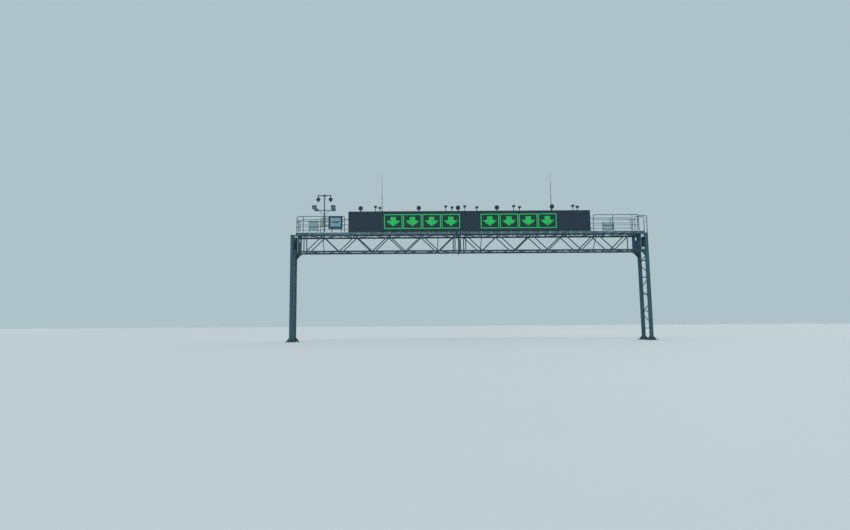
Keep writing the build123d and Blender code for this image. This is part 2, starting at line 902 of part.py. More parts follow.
def build_mast_box():
    low = deck_top + mast_box_level
    front = mast_line + mast_diameter / 2 + fit_gap
    centre = mast_place + mast_box_shift
    with BuildPart() as box:
        add_block(
            (centre - mast_box_width / 2, front, low),
            (centre + mast_box_width / 2, front + mast_box_depth, low + mast_box_height),
        )
    return box.part


def build_panel_frame():
    low = deck_top + panel_level
    left = panel_centre - panel_width / 2
    right = panel_centre + panel_width / 2
    with BuildPart() as frame:
        add_block((left, panel_line, low), (right, panel_line + panel_depth, low + panel_height))
        add_block(
            (left + panel_frame, panel_line, low + panel_frame),
            (right - panel_frame, panel_line + panel_recess, low + panel_height - panel_frame),
            Mode.SUBTRACT,
        )
        post_x = left + panel_post_inset
        post_y = panel_line + panel_depth / 2
        add_bar((post_x, post_y, deck_top), (post_x, post_y, low), panel_post_diameter, post_sides)
        add_post_foot(post_x, post_y)
        box_side = mast_place + mast_box_shift + mast_box_width / 2 + fit_gap
        half = panel_arm_width / 2
        for level in panel_arm_levels:
            add_block(
                (box_side, post_y - half, deck_top + level - half),
                (left, post_y + half, deck_top + level + half),
            )
    return frame.part


def build_panel_glass():
    low = deck_top + panel_level + panel_frame + fit_gap
    high = deck_top + panel_level + panel_height - panel_frame - fit_gap
    half = panel_width / 2 - panel_frame - fit_gap
    with BuildPart() as glass:
        add_block(
            (panel_centre - half, panel_line + panel_recess / 2, low),
            (panel_centre + half, panel_line + panel_recess, high),
        )
    return glass.part


# A cabinet has an overhanging roof, a raised door on the walkway side and short feet
def build_cabinet(start, width, height, depth, level):
    front = front_rail_line + rail_diameter / 2 + fit_gap
    low = deck_top + level
    with BuildPart() as cabinet:
        add_block((start, front, low), (start + width, front + depth, low + height))
        add_block(
            (start - cabinet_roof, front, low + height),
            (start + width + cabinet_roof, front + depth + cabinet_roof, low + height + cabinet_roof),
        )
        door_right = start + width - cabinet_door_margin
        door_top = low + height - cabinet_door_margin
        add_block(
            (start + cabinet_door_margin, front + depth, low + cabinet_door_margin),
            (door_right, front + depth + cabinet_door_raise, door_top),
        )
        if level:
            leg = post_foot_side / 2
            for x in (start, start + width - leg):
                add_block((x, front + depth - leg, deck_top), (x + leg, front + depth, low))
                add_block((x, front + post_foot_side, deck_top), (x + leg, front + post_foot_side + leg, low))
    return cabinet.part


# A conduit comes down from the deck beside the splice
def build_cable_riser():
    lower_x = splice_centre - plate_thickness - riser_diameter / 2 - fit_gap
    upper_x = lower_x - riser_offset
    y = -side_line + chord_radius + riser_diameter
    top = deck_top - deck_sheet - fit_gap
    elbow = top_chord_level - riser_elbow_drop
    corners = (
        (upper_x, y, top),
        (upper_x, y, elbow),
        (lower_x, y, elbow - riser_offset),
        (lower_x, y, bottom_chord_level),
    )
    with BuildPart() as riser:
        add_bent_bar(corners, riser_bend, riser_diameter, fitting_sides)
    return riser.part


def main():
    os.makedirs("parts", exist_ok=True)
    for hand, side_name in ((-1, "left"), (1, "right")):
        x = hand * leg_place
        save(build_leg(x, -side_line), f"leg_front_{side_name}")
        save(build_leg(x, side_line), f"leg_rear_{side_name}")
        save(build_leg_bracing(x), f"leg_bracing_{side_name}")
        save(build_leg_head(hand), f"leg_head_{side_name}")
        save(build_splice_frame(hand), f"splice_frame_{side_name}")
    save(build_end_plates(), "truss_end_plates")

    chord_end = end_plate_face - plate_thickness
    sections = {
        "left": ((-chord_end, splice_centre - plate_thickness), (-end_post_place, splice_left_end),
                 left_first_node, left_bay, left_bays, True),
        "right": ((splice_centre + plate_thickness, chord_end), (splice_right_end, end_post_place),
                  splice_right_end, right_bay, right_bays, False),
    }
    for side_name, (chord_ends, posts, start, bay, bays, starts_low) in sections.items():
        for y, face_name in ((-side_line, "front"), (side_line, "rear")):
            nodes = web_nodes(start, bay, bays, starts_low, y)
            save(build_truss_face(y, chord_ends, posts, nodes), f"truss_{face_name}_{side_name}")
        spare_post = posts[0] if starts_low else posts[1]
        for level, level_name in ((top_chord_level, "top"), (bottom_chord_level, "bottom")):
            bracing = build_bracing(level, (spare_post,), start, bay, bays)
            save(bracing, f"truss_{level_name}_bracing_{side_name}")
    save(build_sway_braces(), "truss_cross_braces")
    save(build_cable_riser(), "cable_riser")

    save(build_bearers(), "walkway_bearers")
    save(build_deck(deck_left_end, -board_half - deck_joint), "walkway_deck_left")
    save(build_deck(-board_half, board_half), "walkway_deck_middle")
    save(build_deck(board_half + deck_joint, deck_right_end, True), "walkway_deck_right")

    left_corner = deck_left_end + rail_inset
    left_stop = -board_half - rail_board_gap
    right_stop = board_half + rail_board_gap
    right_corner = end_plate_face - rail_inset
    left_posts = spread(left_corner + end_bay, left_stop, post_pitch)[:-1]
    right_posts = spread(right_corner - end_bay, right_stop, post_pitch)[:-1]
    save(build_handrail(front_rail_line, (left_corner, left_stop), left_posts), "handrail_front_left")
    save(build_handrail(front_rail_line, (right_stop, right_corner), right_posts), "handrail_front_right")
    middle = (left_corner + right_corner) / 2
    rear_spans = {
        "left": (left_corner, middle - post_foot_side),
        "right": (middle + post_foot_side, right_corner),
    }
    for side_name, ends in rear_spans.items():
        posts = spread(ends[0], ends[1], post_pitch)[1:-1]
        save(build_handrail(rear_rail_line, ends, posts), f"handrail_rear_{side_name}")
    save(build_end_rail(left_corner), "handrail_end_left")

    save(build_ladder(), "ladder")
    save(build_ladder_brackets(), "ladder_brackets")
    save(build_ladder_hoops(), "ladder_hoops")

    save(build_board_case(), "board_case")
    save(build_board_face(), "board_face")
    save(build_board_uprights(), "board_uprights")
    save(build_lightning_rod(rod_left_place), "lightning_rod_left")
    save(build_lightning_rod(rod_right_place), "lightning_rod_right")
    save(build_board_lamps(), "board_lamps")
    save(build_board_cameras(), "board_cameras")

    save(build_mast(), "camera_mast")
    save(build_mast_arms(), "mast_arms")
    save(build_mast_heads(), "mast_heads")
    save(build_mast_box(), "mast_box")
    for hand, side_name in ((-1, "left"), (1, "right")):
        save(build_dome_camera(hand), f"dome_camera_{side_name}")
    save(build_panel_frame(), "panel_frame")
    save(build_panel_glass(), "panel_glass")
    save(
        build_cabinet(left_cabinet_start, left_cabinet_width, left_cabinet_height, left_cabinet_depth,
                      left_cabinet_level),
        "cabinet_left",
    )
    save(
        build_cabinet(right_cabinet_start, right_cabinet_width, right_cabinet_height, right_cabinet_depth,
                      right_cabinet_level),
        "cabinet_right",
    )


main()
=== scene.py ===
import json
from math import cos, pi, radians, sin

import bpy
from mathutils import Matrix, Vector

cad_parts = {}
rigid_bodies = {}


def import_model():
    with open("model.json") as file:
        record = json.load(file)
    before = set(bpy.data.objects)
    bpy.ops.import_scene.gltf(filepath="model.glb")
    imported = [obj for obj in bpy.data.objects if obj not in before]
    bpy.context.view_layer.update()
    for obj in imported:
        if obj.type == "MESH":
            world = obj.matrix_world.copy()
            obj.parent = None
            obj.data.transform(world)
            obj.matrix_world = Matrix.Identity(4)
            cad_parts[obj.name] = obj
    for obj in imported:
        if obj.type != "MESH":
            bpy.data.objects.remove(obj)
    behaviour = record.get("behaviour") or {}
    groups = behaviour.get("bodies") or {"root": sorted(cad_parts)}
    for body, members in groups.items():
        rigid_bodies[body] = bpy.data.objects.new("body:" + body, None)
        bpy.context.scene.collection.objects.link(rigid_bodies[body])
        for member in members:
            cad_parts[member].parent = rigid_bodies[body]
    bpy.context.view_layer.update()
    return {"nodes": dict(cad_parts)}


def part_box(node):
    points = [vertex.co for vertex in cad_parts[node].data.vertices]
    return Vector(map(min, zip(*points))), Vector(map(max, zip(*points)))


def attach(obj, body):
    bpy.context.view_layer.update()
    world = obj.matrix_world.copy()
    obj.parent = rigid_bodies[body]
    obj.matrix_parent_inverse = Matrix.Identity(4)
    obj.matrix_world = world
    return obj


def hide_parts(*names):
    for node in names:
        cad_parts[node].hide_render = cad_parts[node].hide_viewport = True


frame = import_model()

bl_info = {
    "name": "Overhead sign gantry",
    "version": (1, 0, 0),
    "blender": (4, 5, 0),
    "location": "3D View > Sidebar > Gantry",
    "description": "Dresses the gantry's frame with round tubes, bolts, lamps, cameras and paint",
    "category": "Object",
}

BODY = "root"
smooth_angle = radians(32)

# Every length below is in metres. These places come from the frame.
deck_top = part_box("walkway_deck_middle")[1].z
board_low, board_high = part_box("board_case")
leg_x = sum(corner.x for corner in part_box("leg_front_right")) / 2
side_line = sum(corner.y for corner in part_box("leg_rear_right")) / 2
plate_low, plate_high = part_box("truss_end_plates")
splice_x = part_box("splice_frame_left")[1].x
mast_low, mast_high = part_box("camera_mast")
mast_x = (mast_low.x + mast_high.x) / 2
riser_low, riser_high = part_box("cable_riser")
leg_ends = (("left", -leg_x), ("right", leg_x))
faces = (("front", -side_line), ("rear", side_line))
along_y = (0, 1, 0)

# Legs: base plates, ribs, seams and the zigzag between front and rear
base_plate = 0.028
anchor_radius = 0.28
rib_reach = 0.32
rib_toe = 0.04
rib_height = 0.24
seam_levels = (2.85, 5.6)
top_brace_rear = 6.29
top_brace_front = 5.89
brace_fall = 0.57
gap_at_rear = 0.16
gap_at_front = 0.41
lower_braces = 6

# Truss: levels, ends, nodes of the zigzag, slanting braces and the riser's clips
bottom_chord = 6.15
top_chord = 7.25
end_post_x = 11.4
first_node_x = -11.26
last_node_x = 11.12
splice_left_x = -0.99
splice_right_x = -0.25
left_bays = 9
right_bays = 10
sway_nodes = (1, 8)
sway_reach = 0.55
clip_levels = (6.3, 6.75)

# Handrails and ladder
rail_front_y = -0.74
rail_rear_y = 0.74
rail_corner_x = 11.905
right_corner_x = 11.74
post_pitch = 1.39
mid_rail_drops = (0.365, 0.73)
ladder_half = 0.26
rung_pitch = 0.3
hoop_rise = 1.11
hoop_setback = 0.36

# Message board: cells and arrows in dots, and the doors behind
dot_columns = 20
dot_rows = 16
cell_pitch = 1.32
group_starts = (-5.84, 0.81)
shaft_rows = range(6, 13)
shaft_half = 2.6
head_rows = range(3, 9)
head_slope = 1.25
rear_doors = 8
handle_level = 8.12

# Places along the board and heights above it
lamp_places = ((-7.48, 0.225), (-3.47, 0.225), (-0.76, 0.225), (1.92, 0.225), (5.72, 0.275))
camera_places = (
    (-6.455, 0.33), (-6.15, 0.25), (-1.6, 0.33), (-1.17, 0.25), (-0.29, 0.33),
    (0.545, 0.25), (3.1, 0.33), (3.5, 0.25), (7.19, 0.33), (7.5, 0.25),
)

# Camera mast: its place on Y, then heights above the deck
mast_y = -0.6
arm_rise = 2.59
bar_rise = 1.53
band_rises = (0.45, 0.75, 1.02, 1.9, 2.25)

# Heights of the cabinets' bodies
cabinet_bodies = {"left": 0.61, "right": 0.51}

# The photograph's viewpoint: metres, degrees and pixels
view_place = (-5.067, -45.138, 1.162)
view_yaw, view_pitch, view_roll = 0.069, 7.55, -0.365
photo_width = 850
focal_pixels = 649.6
shift_pixels = (28.4, -26.9)
sensor_width = 36


# Sizes and colours that a user would change
def length(name, description, default):
    return bpy.props.FloatProperty(
        name=name, description=description, default=default, min=0.001, unit="LENGTH")


def shade(name, description, red, green, blue):
    linear = tuple(to_linear(value / 255) for value in (red, green, blue))
    return bpy.props.FloatVectorProperty(
        name=name, description=description, default=linear, size=3, min=0, max=1, subtype="COLOR")


def to_linear(value):
    return value / 12.92 if value <= 0.04045 else ((value + 0.055) / 1.055) ** 2.4


class GantrySizes(bpy.types.PropertyGroup):
    leg_tube: length("Leg tube", "Diameter of the legs", 0.273)
    leg_brace: length("Leg brace", "Diameter of the zigzag between the legs", 0.06)
    chord_tube: length("Chord", "Diameter of the truss chords", 0.114)
    web_tube: length("Web", "Diameter of the zigzag in the truss faces", 0.07)
    brace_tube: length("Brace", "Diameter of the struts and diagonals between the faces", 0.05)
    rail_tube: length("Handrail", "Diameter of the top rail and its posts", 0.05)
    mid_rail_tube: length("Mid rail", "Diameter of the two lower rails", 0.038)
    rail_rise: length("Rail height", "Top of the handrail above the deck", 1.1)
    rail_bend: length("Rail bend", "Radius of the handrail's corners", 0.13)
    bolt_head: length("Bolt head", "Width of a bolt head on the plates", 0.036)
    lamp_drum: length("Lamp drum", "Diameter of the round lamps on the board", 0.31)
    led_pitch: length("Dot pitch", "Distance between lit dots on the board", 0.0635)


class GantryColours(bpy.types.PropertyGroup):
    frame_paint: shade("Frame", "Paint of the legs and the plates", 50, 81, 93)
    # Painted light: a lighter tone that lifts the shade on the plates between the legs' tops
    head_painted_light: shade("Leg heads", "Paint of the plates between the legs' tops", 100, 130, 142)
    truss_paint: shade("Truss", "Paint of the chords and their bracing", 36, 66, 80)
    rail_paint: shade("Rails", "Paint of the handrails", 66, 94, 104)
    deck_paint: shade("Deck", "Paint of the walkway", 168, 193, 201)
    board_paint: shade("Board case", "Paint of the message board's case", 30, 48, 60)
    screen_black: shade("Screen", "The board's unlit face", 24, 44, 58)
    screen_lens: shade("Screen lens", "The unlit dots on the board's face", 38, 62, 80)
    lit_green: shade("Lit dots", "The dots that are lit", 10, 198, 84)
    lamp_paint: shade("Lamps", "Housings of the lamps", 26, 46, 60)
    camera_paint: shade("Cameras", "Housings of the cameras", 52, 74, 84)
    mast_paint: shade("Mast", "Paint of the camera mast and of its heads", 94, 121, 131)
    box_paint: shade("Control box", "Paint of the box on the mast", 151, 164, 168)
    dark_glass: shade("Dark glass", "Lenses, bubbles and the panel's slot", 29, 34, 39)
    cabinet_paint: shade("Cabinets", "Paint of the cabinets", 132, 158, 163)
    panel_paint: shade("Panel frame", "Paint of the framed panel", 24, 68, 80)
    panel_tint: shade("Panel glass", "Tint of the panel's glass", 122, 168, 180)
    zinc: shade("Zinc", "Bolts, nuts and rods", 118, 128, 132)
    rust: shade("Rust", "Spots at joints and edges", 104, 74, 58)
    dust: shade("Dust", "Dirt on upper faces and in streaks", 128, 134, 130)
    floor: shade("Floor", "Floor of the stage", 196, 208, 212)
    sky: shade("Backdrop", "Background of the stage", 174, 195, 201)


def sizes():
    return bpy.context.scene.gantry_sizes


def colours():
    return bpy.context.scene.gantry_colours


# Shader maths
class Signal:
    """A shader socket that adds a Math node for every sum or product it takes part in."""

    def __init__(self, sheet, socket):
        self.sheet = sheet
        self.socket = socket

    def join(self, operation, first, second):
        return self.sheet.add("ShaderNodeMath", 0, {"operation": operation}, {0: first, 1: second})

    def __add__(self, other):
        return self.join("ADD", self, other)

    def __radd__(self, other):
        return self.join("ADD", other, self)

    def __sub__(self, other):
        return self.join("SUBTRACT", self, other)

    def __rsub__(self, other):
        return self.join("SUBTRACT", other, self)

    def __mul__(self, other):
        return self.join("MULTIPLY", self, other)

    def __rmul__(self, other):
        return self.join("MULTIPLY", other, self)

    def __truediv__(self, other):
        return self.join("DIVIDE", self, other)

    def __rtruediv__(self, other):
        return self.join("DIVIDE", other, self)

    def __mod__(self, other):
        return self.join("FLOORED_MODULO", self, other)

    def __rmod__(self, other):
        return self.join("FLOORED_MODULO", other, self)

    def __gt__(self, other):
        return self.join("GREATER_THAN", self, other)

    def __lt__(self, other):
        return self.join("LESS_THAN", self, other)

    def __abs__(self):
        return self.join("ABSOLUTE", self, 0)

    def hold(self):
        """Keeps the value between 0 and 1."""
        return self.sheet.add("ShaderNodeClamp", 0, {}, {"Value": self})

    def ramp(self, low, high):
        """Rises from 0 at the low value to 1 at the high one."""
        inputs = {"Value": self, 1: low, 2: high}
        return self.sheet.add("ShaderNodeMapRange", 0, {"clamp": True}, inputs)


class NodeSheet:
    """A node tree, and the one way in which its nodes are made."""

    def __init__(self, tree):
        self.tree = tree
        tree.nodes.clear()

    def node(self, kind, settings=None, inputs=None):
        made = self.tree.nodes.new(kind)
        for name, value in (settings or {}).items():
            setattr(made, name, value)
        for name, value in (inputs or {}).items():
            self.feed(made.inputs[name], value)
        return made

    def add(self, kind, output, settings=None, inputs=None):
        return Signal(self, self.node(kind, settings, inputs).outputs[output])

    def feed(self, socket, value):
        if isinstance(value, Signal):
            self.tree.links.new(value.socket, socket)
        elif socket.type == "RGBA" and len(value) == 3:
            socket.default_value = (*value, 1)
        else:
            socket.default_value = value


finishes = {}


class Finish(NodeSheet):
    """The node tree of one finish: a principled shader and what feeds it."""

    def __init__(self, name, gloss=0.3):
        self.material = finishes[name] = bpy.data.materials.new(name)
        self.material.use_nodes = True
        super().__init__(self.material.node_tree)
        self.shader = self.node("ShaderNodeBsdfPrincipled")
        surface = Signal(self, self.shader.outputs[0])
        self.node("ShaderNodeOutputMaterial", {}, {"Surface": surface})
        self.set(Specular_IOR_Level=gloss)
        self.places = self.add("ShaderNodeTexCoord", "Object")

    def set(self, **values):
        for name, value in values.items():
            self.feed(self.shader.inputs[name.replace("_", " ")], value)

    def noise(self, scale, detail=3.0, stretch=None):
        places = self.places
        if stretch:
            inputs = {0: places, 1: stretch}
            places = self.add("ShaderNodeVectorMath", 0, {"operation": "MULTIPLY"}, inputs)
        inputs = {"Vector": places, "Scale": scale, "Detail": detail}
        return self.add("ShaderNodeTexNoise", 0, {"noise_dimensions": "3D"}, inputs)

    def blend(self, share, first, second):
        return self.add("ShaderNodeMix", 2, {"data_type": "RGBA"}, {0: share, 6: first, 7: second})

    def axis(self, index, vector=None):
        return self.add("ShaderNodeSeparateXYZ", index, {}, {0: vector or self.places})

    def facing(self, index):
        return self.axis(index, self.add("ShaderNodeNewGeometry", "Normal"))

    def relief(self, height, distance, strength=1.0):
        inputs = {"Strength": strength, "Distance": distance, "Height": height}
        return self.add("ShaderNodeBump", 0, {}, inputs)


def shaded(colour, share):
    return tuple(min(1, value * share) for value in colour)


def weathered(sheet, paint, rust, streaks=0.35):
    """A paint's colour with fading, mottling, streaks, dust and rust, and what these dull."""
    palette = colours()
    fade = sheet.noise(0.55, 4.0).ramp(0.35, 0.7)
    mottle = sheet.noise(7.0, 5.0).ramp(0.38, 0.66)
    run_down = sheet.noise(1.0, 4.0, (9, 9, 0.7)).ramp(0.5, 0.72)
    settled = sheet.facing(2).ramp(0.35, 0.95) * sheet.noise(3.0).ramp(0.2, 0.8)
    spots = sheet.noise(16.0, 6.0).ramp(0.66, 0.72) * sheet.noise(1.7, 2.0).ramp(0.5, 0.62)
    darker = shaded(paint, 0.74)
    tone = sheet.blend(fade * 0.6, tuple(paint), shaded(paint, 1.35))
    tone = sheet.blend(mottle * 0.3, tone, darker)
    tone = sheet.blend(run_down * streaks, tone, darker)
    tone = sheet.blend(settled * 0.4, tone, tuple(palette.dust))
    tone = sheet.blend(spots * rust, tone, tuple(palette.rust))
    return tone, (run_down * 0.12 + mottle * 0.08 + settled * 0.2 + spots * 0.25)


def painted(name, paint, roughness, metal, rust, streaks=0.35, gloss=0.3, upper=None):
    """A sprayed paint. An upper colour, a lighter tone painted in to lift the shade, takes over
    above the truss's bottom chord.
    """
    sheet = Finish(name, gloss)
    tone, dulling = weathered(sheet, paint, rust, streaks)
    if upper is not None:
        above = sheet.axis(2).ramp(bottom_chord + 0.05, bottom_chord + 0.15)
        # Painted light: the upper colour lightens everything above the bottom chord to lift its
        # shade
        tone = sheet.blend(above * 0.8, tone, tuple(upper))
    skin = sheet.relief(sheet.noise(260.0, 2.0), 0.0006, 0.5)
    sheet.set(Base_Color=tone, Roughness=(dulling + roughness).hold(), Metallic=metal, Normal=skin)


def chequered(name, paint):
    """Deck plate with short raised bars that cross, worn bright on the top."""
    sheet = Finish(name)
    tone, dulling = weathered(sheet, paint, 0.6)
    bars_per_metre = 22.0
    x, y = sheet.axis(0), sheet.axis(1)
    along = abs((x + y) * bars_per_metre % 2.0 - 1.0)
    across = abs((x - y) * bars_per_metre % 2.0 - 1.0)
    bars = (along > 0.45) * (across > 0.8) + (across > 0.45) * (along > 0.8)
    top = sheet.facing(2) > 0.7
    worn = sheet.noise(1.2).ramp(0.4, 0.62)
    tone = sheet.blend((bars * top * worn * 0.55).hold(), tone, shaded(paint, 1.5))
    skin = sheet.relief(bars * top, 0.002)
    sheet.set(Base_Color=tone, Roughness=(dulling + 0.45).hold(), Normal=skin)


def lens_grid(name, black, lens_tint):
    """The board's unlit face: modules of slightly different black, and a grid of lenses."""
    sheet = Finish(name)
    pitch = sizes().led_pitch / 2
    across = (sheet.axis(0) / pitch) % 1.0 - 0.5
    up = (sheet.axis(2) / pitch) % 1.0 - 0.5
    towards_front = 0.0 - sheet.facing(1)
    lens = ((across * across + up * up) < 0.1) * towards_front.ramp(0.5, 0.9)
    module = sheet.noise(0.9, 2.0).ramp(0.3, 0.7)
    grime = sheet.noise(1.0, 4.0, (5, 5, 0.6)).ramp(0.52, 0.8)
    tone = sheet.blend(module * 0.35, tuple(black), shaded(black, 1.3))
    tone = sheet.blend(lens * 0.75, tone, tuple(lens_tint))
    tone = sheet.blend(grime * 0.06, tone, tuple(colours().dust))
    roughness = (0.55 - lens * 0.25 + grime * 0.2).hold()
    sheet.set(Base_Color=tone, Roughness=roughness, Normal=sheet.relief(lens, 0.003))


def glowing(name, green):
    sheet = Finish(name)
    glow = sheet.noise(3.0, 2.0).ramp(0.3, 0.7)
    tone = sheet.blend(glow * 0.5, tuple(green), shaded(green, 0.75))
    sheet.set(Base_Color=tone, Roughness=0.35, Emission_Color=tone, Emission_Strength=0.5)


def glazed(name, tint, roughness, coat):
    sheet = Finish(name)
    film = sheet.noise(4.0, 4.0).ramp(0.42, 0.7)
    streak = sheet.noise(1.0, 4.0, (14, 14, 1.2)).ramp(0.5, 0.74)
    tone = sheet.blend(film * 0.3, tuple(tint), shaded(tint, 1.4))
    tone = sheet.blend(streak * 0.22, tone, tuple(colours().dust))
    sheet.set(Base_Color=tone, Roughness=(film * 0.18 + streak * 0.2 + roughness).hold())
    sheet.set(Coat_Weight=coat, Coat_Roughness=0.05)


def galvanised(name, metal_tone, roughness):
    sheet = Finish(name)
    grains = {"Vector": sheet.places, "Scale": 120.0}
    spangle = sheet.add("ShaderNodeTexVoronoi", "Color", {}, grains)
    light = sheet.add("ShaderNodeSeparateColor", 0, {}, {0: spangle})
    tone = sheet.blend(light * 0.4, tuple(metal_tone), shaded(metal_tone, 1.35))
    stain = sheet.noise(22.0, 5.0).ramp(0.56, 0.7)
    tone = sheet.blend(stain * 0.35, tone, tuple(colours().rust))
    dulled = (stain * 0.3 + light * 0.1 + roughness).hold()
    sheet.set(Base_Color=tone, Metallic=0.75, Roughness=dulled)


def mix_finishes():
    palette = colours()
    frame_paint = palette.frame_paint
    # A name and a paint, then roughness, metal, rust and streaks
    for row in (
        ("frame_paint", frame_paint, 0.42, 0.0, 0.5),
        ("truss_paint", palette.truss_paint, 0.4, 0.0, 0.6),
        ("rail_paint", palette.rail_paint, 0.38, 0.1, 0.35, 0.2),
        # Bearers: a lit copy of the deck paint, lighter to lift the shade under the deck
        ("bearer_paint", shaded(palette.deck_paint, 1.1), 0.45, 0.0, 0.6),
        ("board_case_paint", palette.board_paint, 0.36, 0.0, 0.25, 0.3),
        ("lamp_paint", palette.lamp_paint, 0.35, 0.2, 0.15, 0.2),
        ("camera_paint", palette.camera_paint, 0.34, 0.0, 0.1, 0.25),
        ("mast_paint", palette.mast_paint, 0.36, 0.1, 0.2, 0.2),
        ("mast_box_paint", palette.box_paint, 0.45, 0.0, 0.2, 0.3),
        ("cabinet_paint", palette.cabinet_paint, 0.4, 0.0, 0.35, 0.45),
        ("panel_frame_paint", palette.panel_paint, 0.35, 0.0, 0.2, 0.2),
        ("conduit_paint", shaded(frame_paint, 0.62), 0.5, 0.0, 0.1),
    ):
        painted(*row)
    # Leg heads: frame paint, with painted light above the bottom chord that lifts their shade
    painted("leg_head_paint_and_painted_light", frame_paint, 0.5, 0.0, 0.2, upper=palette.head_painted_light)
    # End plates: a lit copy of the frame paint, 1.35 times as light, to lift their shade
    painted("end_plate_paint_and_painted_light", shaded(frame_paint, 1.35), 0.7, 0.0, 0.1, 0.3, gloss=0.04)
    chequered("deck_chequer_plate", palette.deck_paint)
    lens_grid("board_screen_lens_grid", palette.screen_black, palette.screen_lens)
    glowing("board_lit_dots", palette.lit_green)
    glazed("lamp_glass", shaded(palette.lamp_paint, 0.8), roughness=0.3, coat=0.2)
    glazed("camera_glass", palette.dark_glass, roughness=0.04, coat=1.0)
    glazed("panel_glass_tint", palette.panel_tint, roughness=0.06, coat=0.6)
    galvanised("zinc_coating", palette.zinc, roughness=0.4)
    galvanised("rod_steel", shaded(palette.zinc, 0.4), roughness=0.35)


# The finish of each CAD node, by the start of its name
cad_finishes = {
    "leg_head_paint_and_painted_light": ("leg_head",),
    "end_plate_paint_and_painted_light": ("truss_end_plates",),
    "frame_paint": ("leg_front", "leg_rear", "board_uprights"),
    "truss_paint": ("truss_front", "truss_rear", "truss_top", "truss_bottom", "truss_cross",
                    "splice_frame", "leg_bracing", "mast_arms"),
    "rail_paint": ("handrail", "ladder"),
    "bearer_paint": ("walkway_bearers",),
    "deck_chequer_plate": ("walkway_deck",),
    "board_case_paint": ("board_case",),
    "board_screen_lens_grid": ("board_face",),
    "lamp_paint": ("board_lamps", "mast_heads", "dome_camera"),
    "camera_paint": ("board_cameras",),
    "mast_paint": ("camera_mast",),
    "mast_box_paint": ("mast_box",),
    "rod_steel": ("lightning_rod",),
    "panel_frame_paint": ("panel_frame",),
    "panel_glass_tint": ("panel_glass",),
    "cabinet_paint": ("cabinet_",),
    "conduit_paint": ("cable_riser",),
}


# Modelling helpers
def open_piece(name):
    bpy.ops.object.select_all(action="DESELECT")
    bpy.ops.object.add(type="MESH", location=(0, 0, 0), enter_editmode=True)
    piece = bpy.context.object
    piece.name = name
    piece.data.name = name


def close_piece(finish, slot, *replaced):
    piece = bpy.context.object
    bpy.ops.mesh.select_all(action="SELECT")
    bpy.ops.mesh.normals_make_consistent(inside=False)
    bpy.ops.object.mode_set(mode="OBJECT")
    bpy.ops.object.shade_smooth_by_angle(angle=smooth_angle)
    piece.data.materials.append(finishes[finish])
    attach(piece, BODY)
    if replaced:
        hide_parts(*replaced)


def tube(start, end, diameter, sides=20):
    start = Vector(start)
    run = Vector(end) - start
    bpy.ops.mesh.primitive_cylinder_add(
        vertices=sides, radius=diameter / 2, depth=run.length, location=start + run / 2,
        rotation=run.to_track_quat("Z", "Y").to_euler())


def post(x, y, low, high, diameter, sides=20):
    tube((x, y, low), (x, y, high), diameter, sides)


def rings(x, y, levels, height, diameter, sides):
    """Short upright tubes, one from each of the levels."""
    for level in levels:
        post(x, y, level, level + height, diameter, sides)


def cone(start, end, first, last, sides):
    start = Vector(start)
    run = Vector(end) - start
    bpy.ops.mesh.primitive_cone_add(
        vertices=sides, radius1=first / 2, radius2=last / 2, depth=run.length,
        location=start + run / 2, rotation=run.to_track_quat("Z", "Y").to_euler())


def block(low, high, edge, rounding=2, at=(0, 0, 0)):
    """A box with bevelled edges, by two corners that are measured from a place."""
    low, high = (Vector([a + b for a, b in zip(at, corner)]) for corner in (low, high))
    bpy.ops.mesh.primitive_cube_add(size=1, location=(low + high) / 2, scale=high - low)
    bpy.ops.mesh.bevel(offset=edge, segments=rounding, affect="EDGES")


def bent_tube(points, bend, diameter, sides=16, steps=7):
    """Sweeps a circle through the points, with a bend of one radius at each corner."""
    points = [Vector(point) for point in points]
    run = points[1] - points[0]
    bpy.ops.mesh.select_all(action="DESELECT")
    bpy.ops.mesh.primitive_circle_add(
        vertices=sides, radius=diameter / 2, location=points[0],
        rotation=run.to_track_quat("Z", "Y").to_euler())
    here = points[0]
    for corner, after in zip(points[1:], points[2:]):
        into = (corner - here).normalized()
        away = (after - corner).normalized()
        turn = into.angle(away)
        setback = bend * (1 - cos(turn)) / sin(turn)
        begin = corner - into * setback
        bpy.ops.mesh.extrude_region_move(TRANSFORM_OT_translate={"value": begin - here})
        inward = (away - into * into.dot(away)).normalized()
        axis = into.cross(away).normalized()
        bpy.ops.mesh.spin(steps=steps, angle=-turn, center=begin + inward * bend, axis=axis)
        here = corner + away * setback
    bpy.ops.mesh.extrude_region_move(TRANSFORM_OT_translate={"value": points[-1] - here})
    bpy.ops.mesh.select_all(action="SELECT")
    bpy.ops.mesh.remove_doubles(threshold=0.0001)
    bpy.ops.mesh.select_mode(type="EDGE")
    bpy.ops.mesh.select_all(action="DESELECT")
    bpy.ops.mesh.select_non_manifold()
    bpy.ops.mesh.edge_face_add()
    bpy.ops.mesh.select_mode(type="VERT")


def copy_to(first, places):
    """Copies all that is open from the first place to each of the others."""
    here = Vector(first)
    bpy.ops.mesh.select_all(action="SELECT")
    for place in places:
        step = Vector(place) - here
        bpy.ops.mesh.duplicate_move(TRANSFORM_OT_translate={"value": step})
        here = Vector(place)


def copy_along(first, places):
    copy_to((first, 0, 0), [(place, 0, 0) for place in places])


def outline(points):
    """Draws a row of edges through the points and leaves it selected."""
    points = [Vector(point) for point in points]
    bpy.ops.mesh.select_all(action="DESELECT")
    bpy.ops.mesh.primitive_plane_add(size=0.01, location=points[0])
    bpy.ops.mesh.merge(type="CENTER")
    for before, after in zip(points, points[1:]):
        bpy.ops.mesh.extrude_region_move(TRANSFORM_OT_translate={"value": after - before})
    bpy.ops.mesh.select_linked()


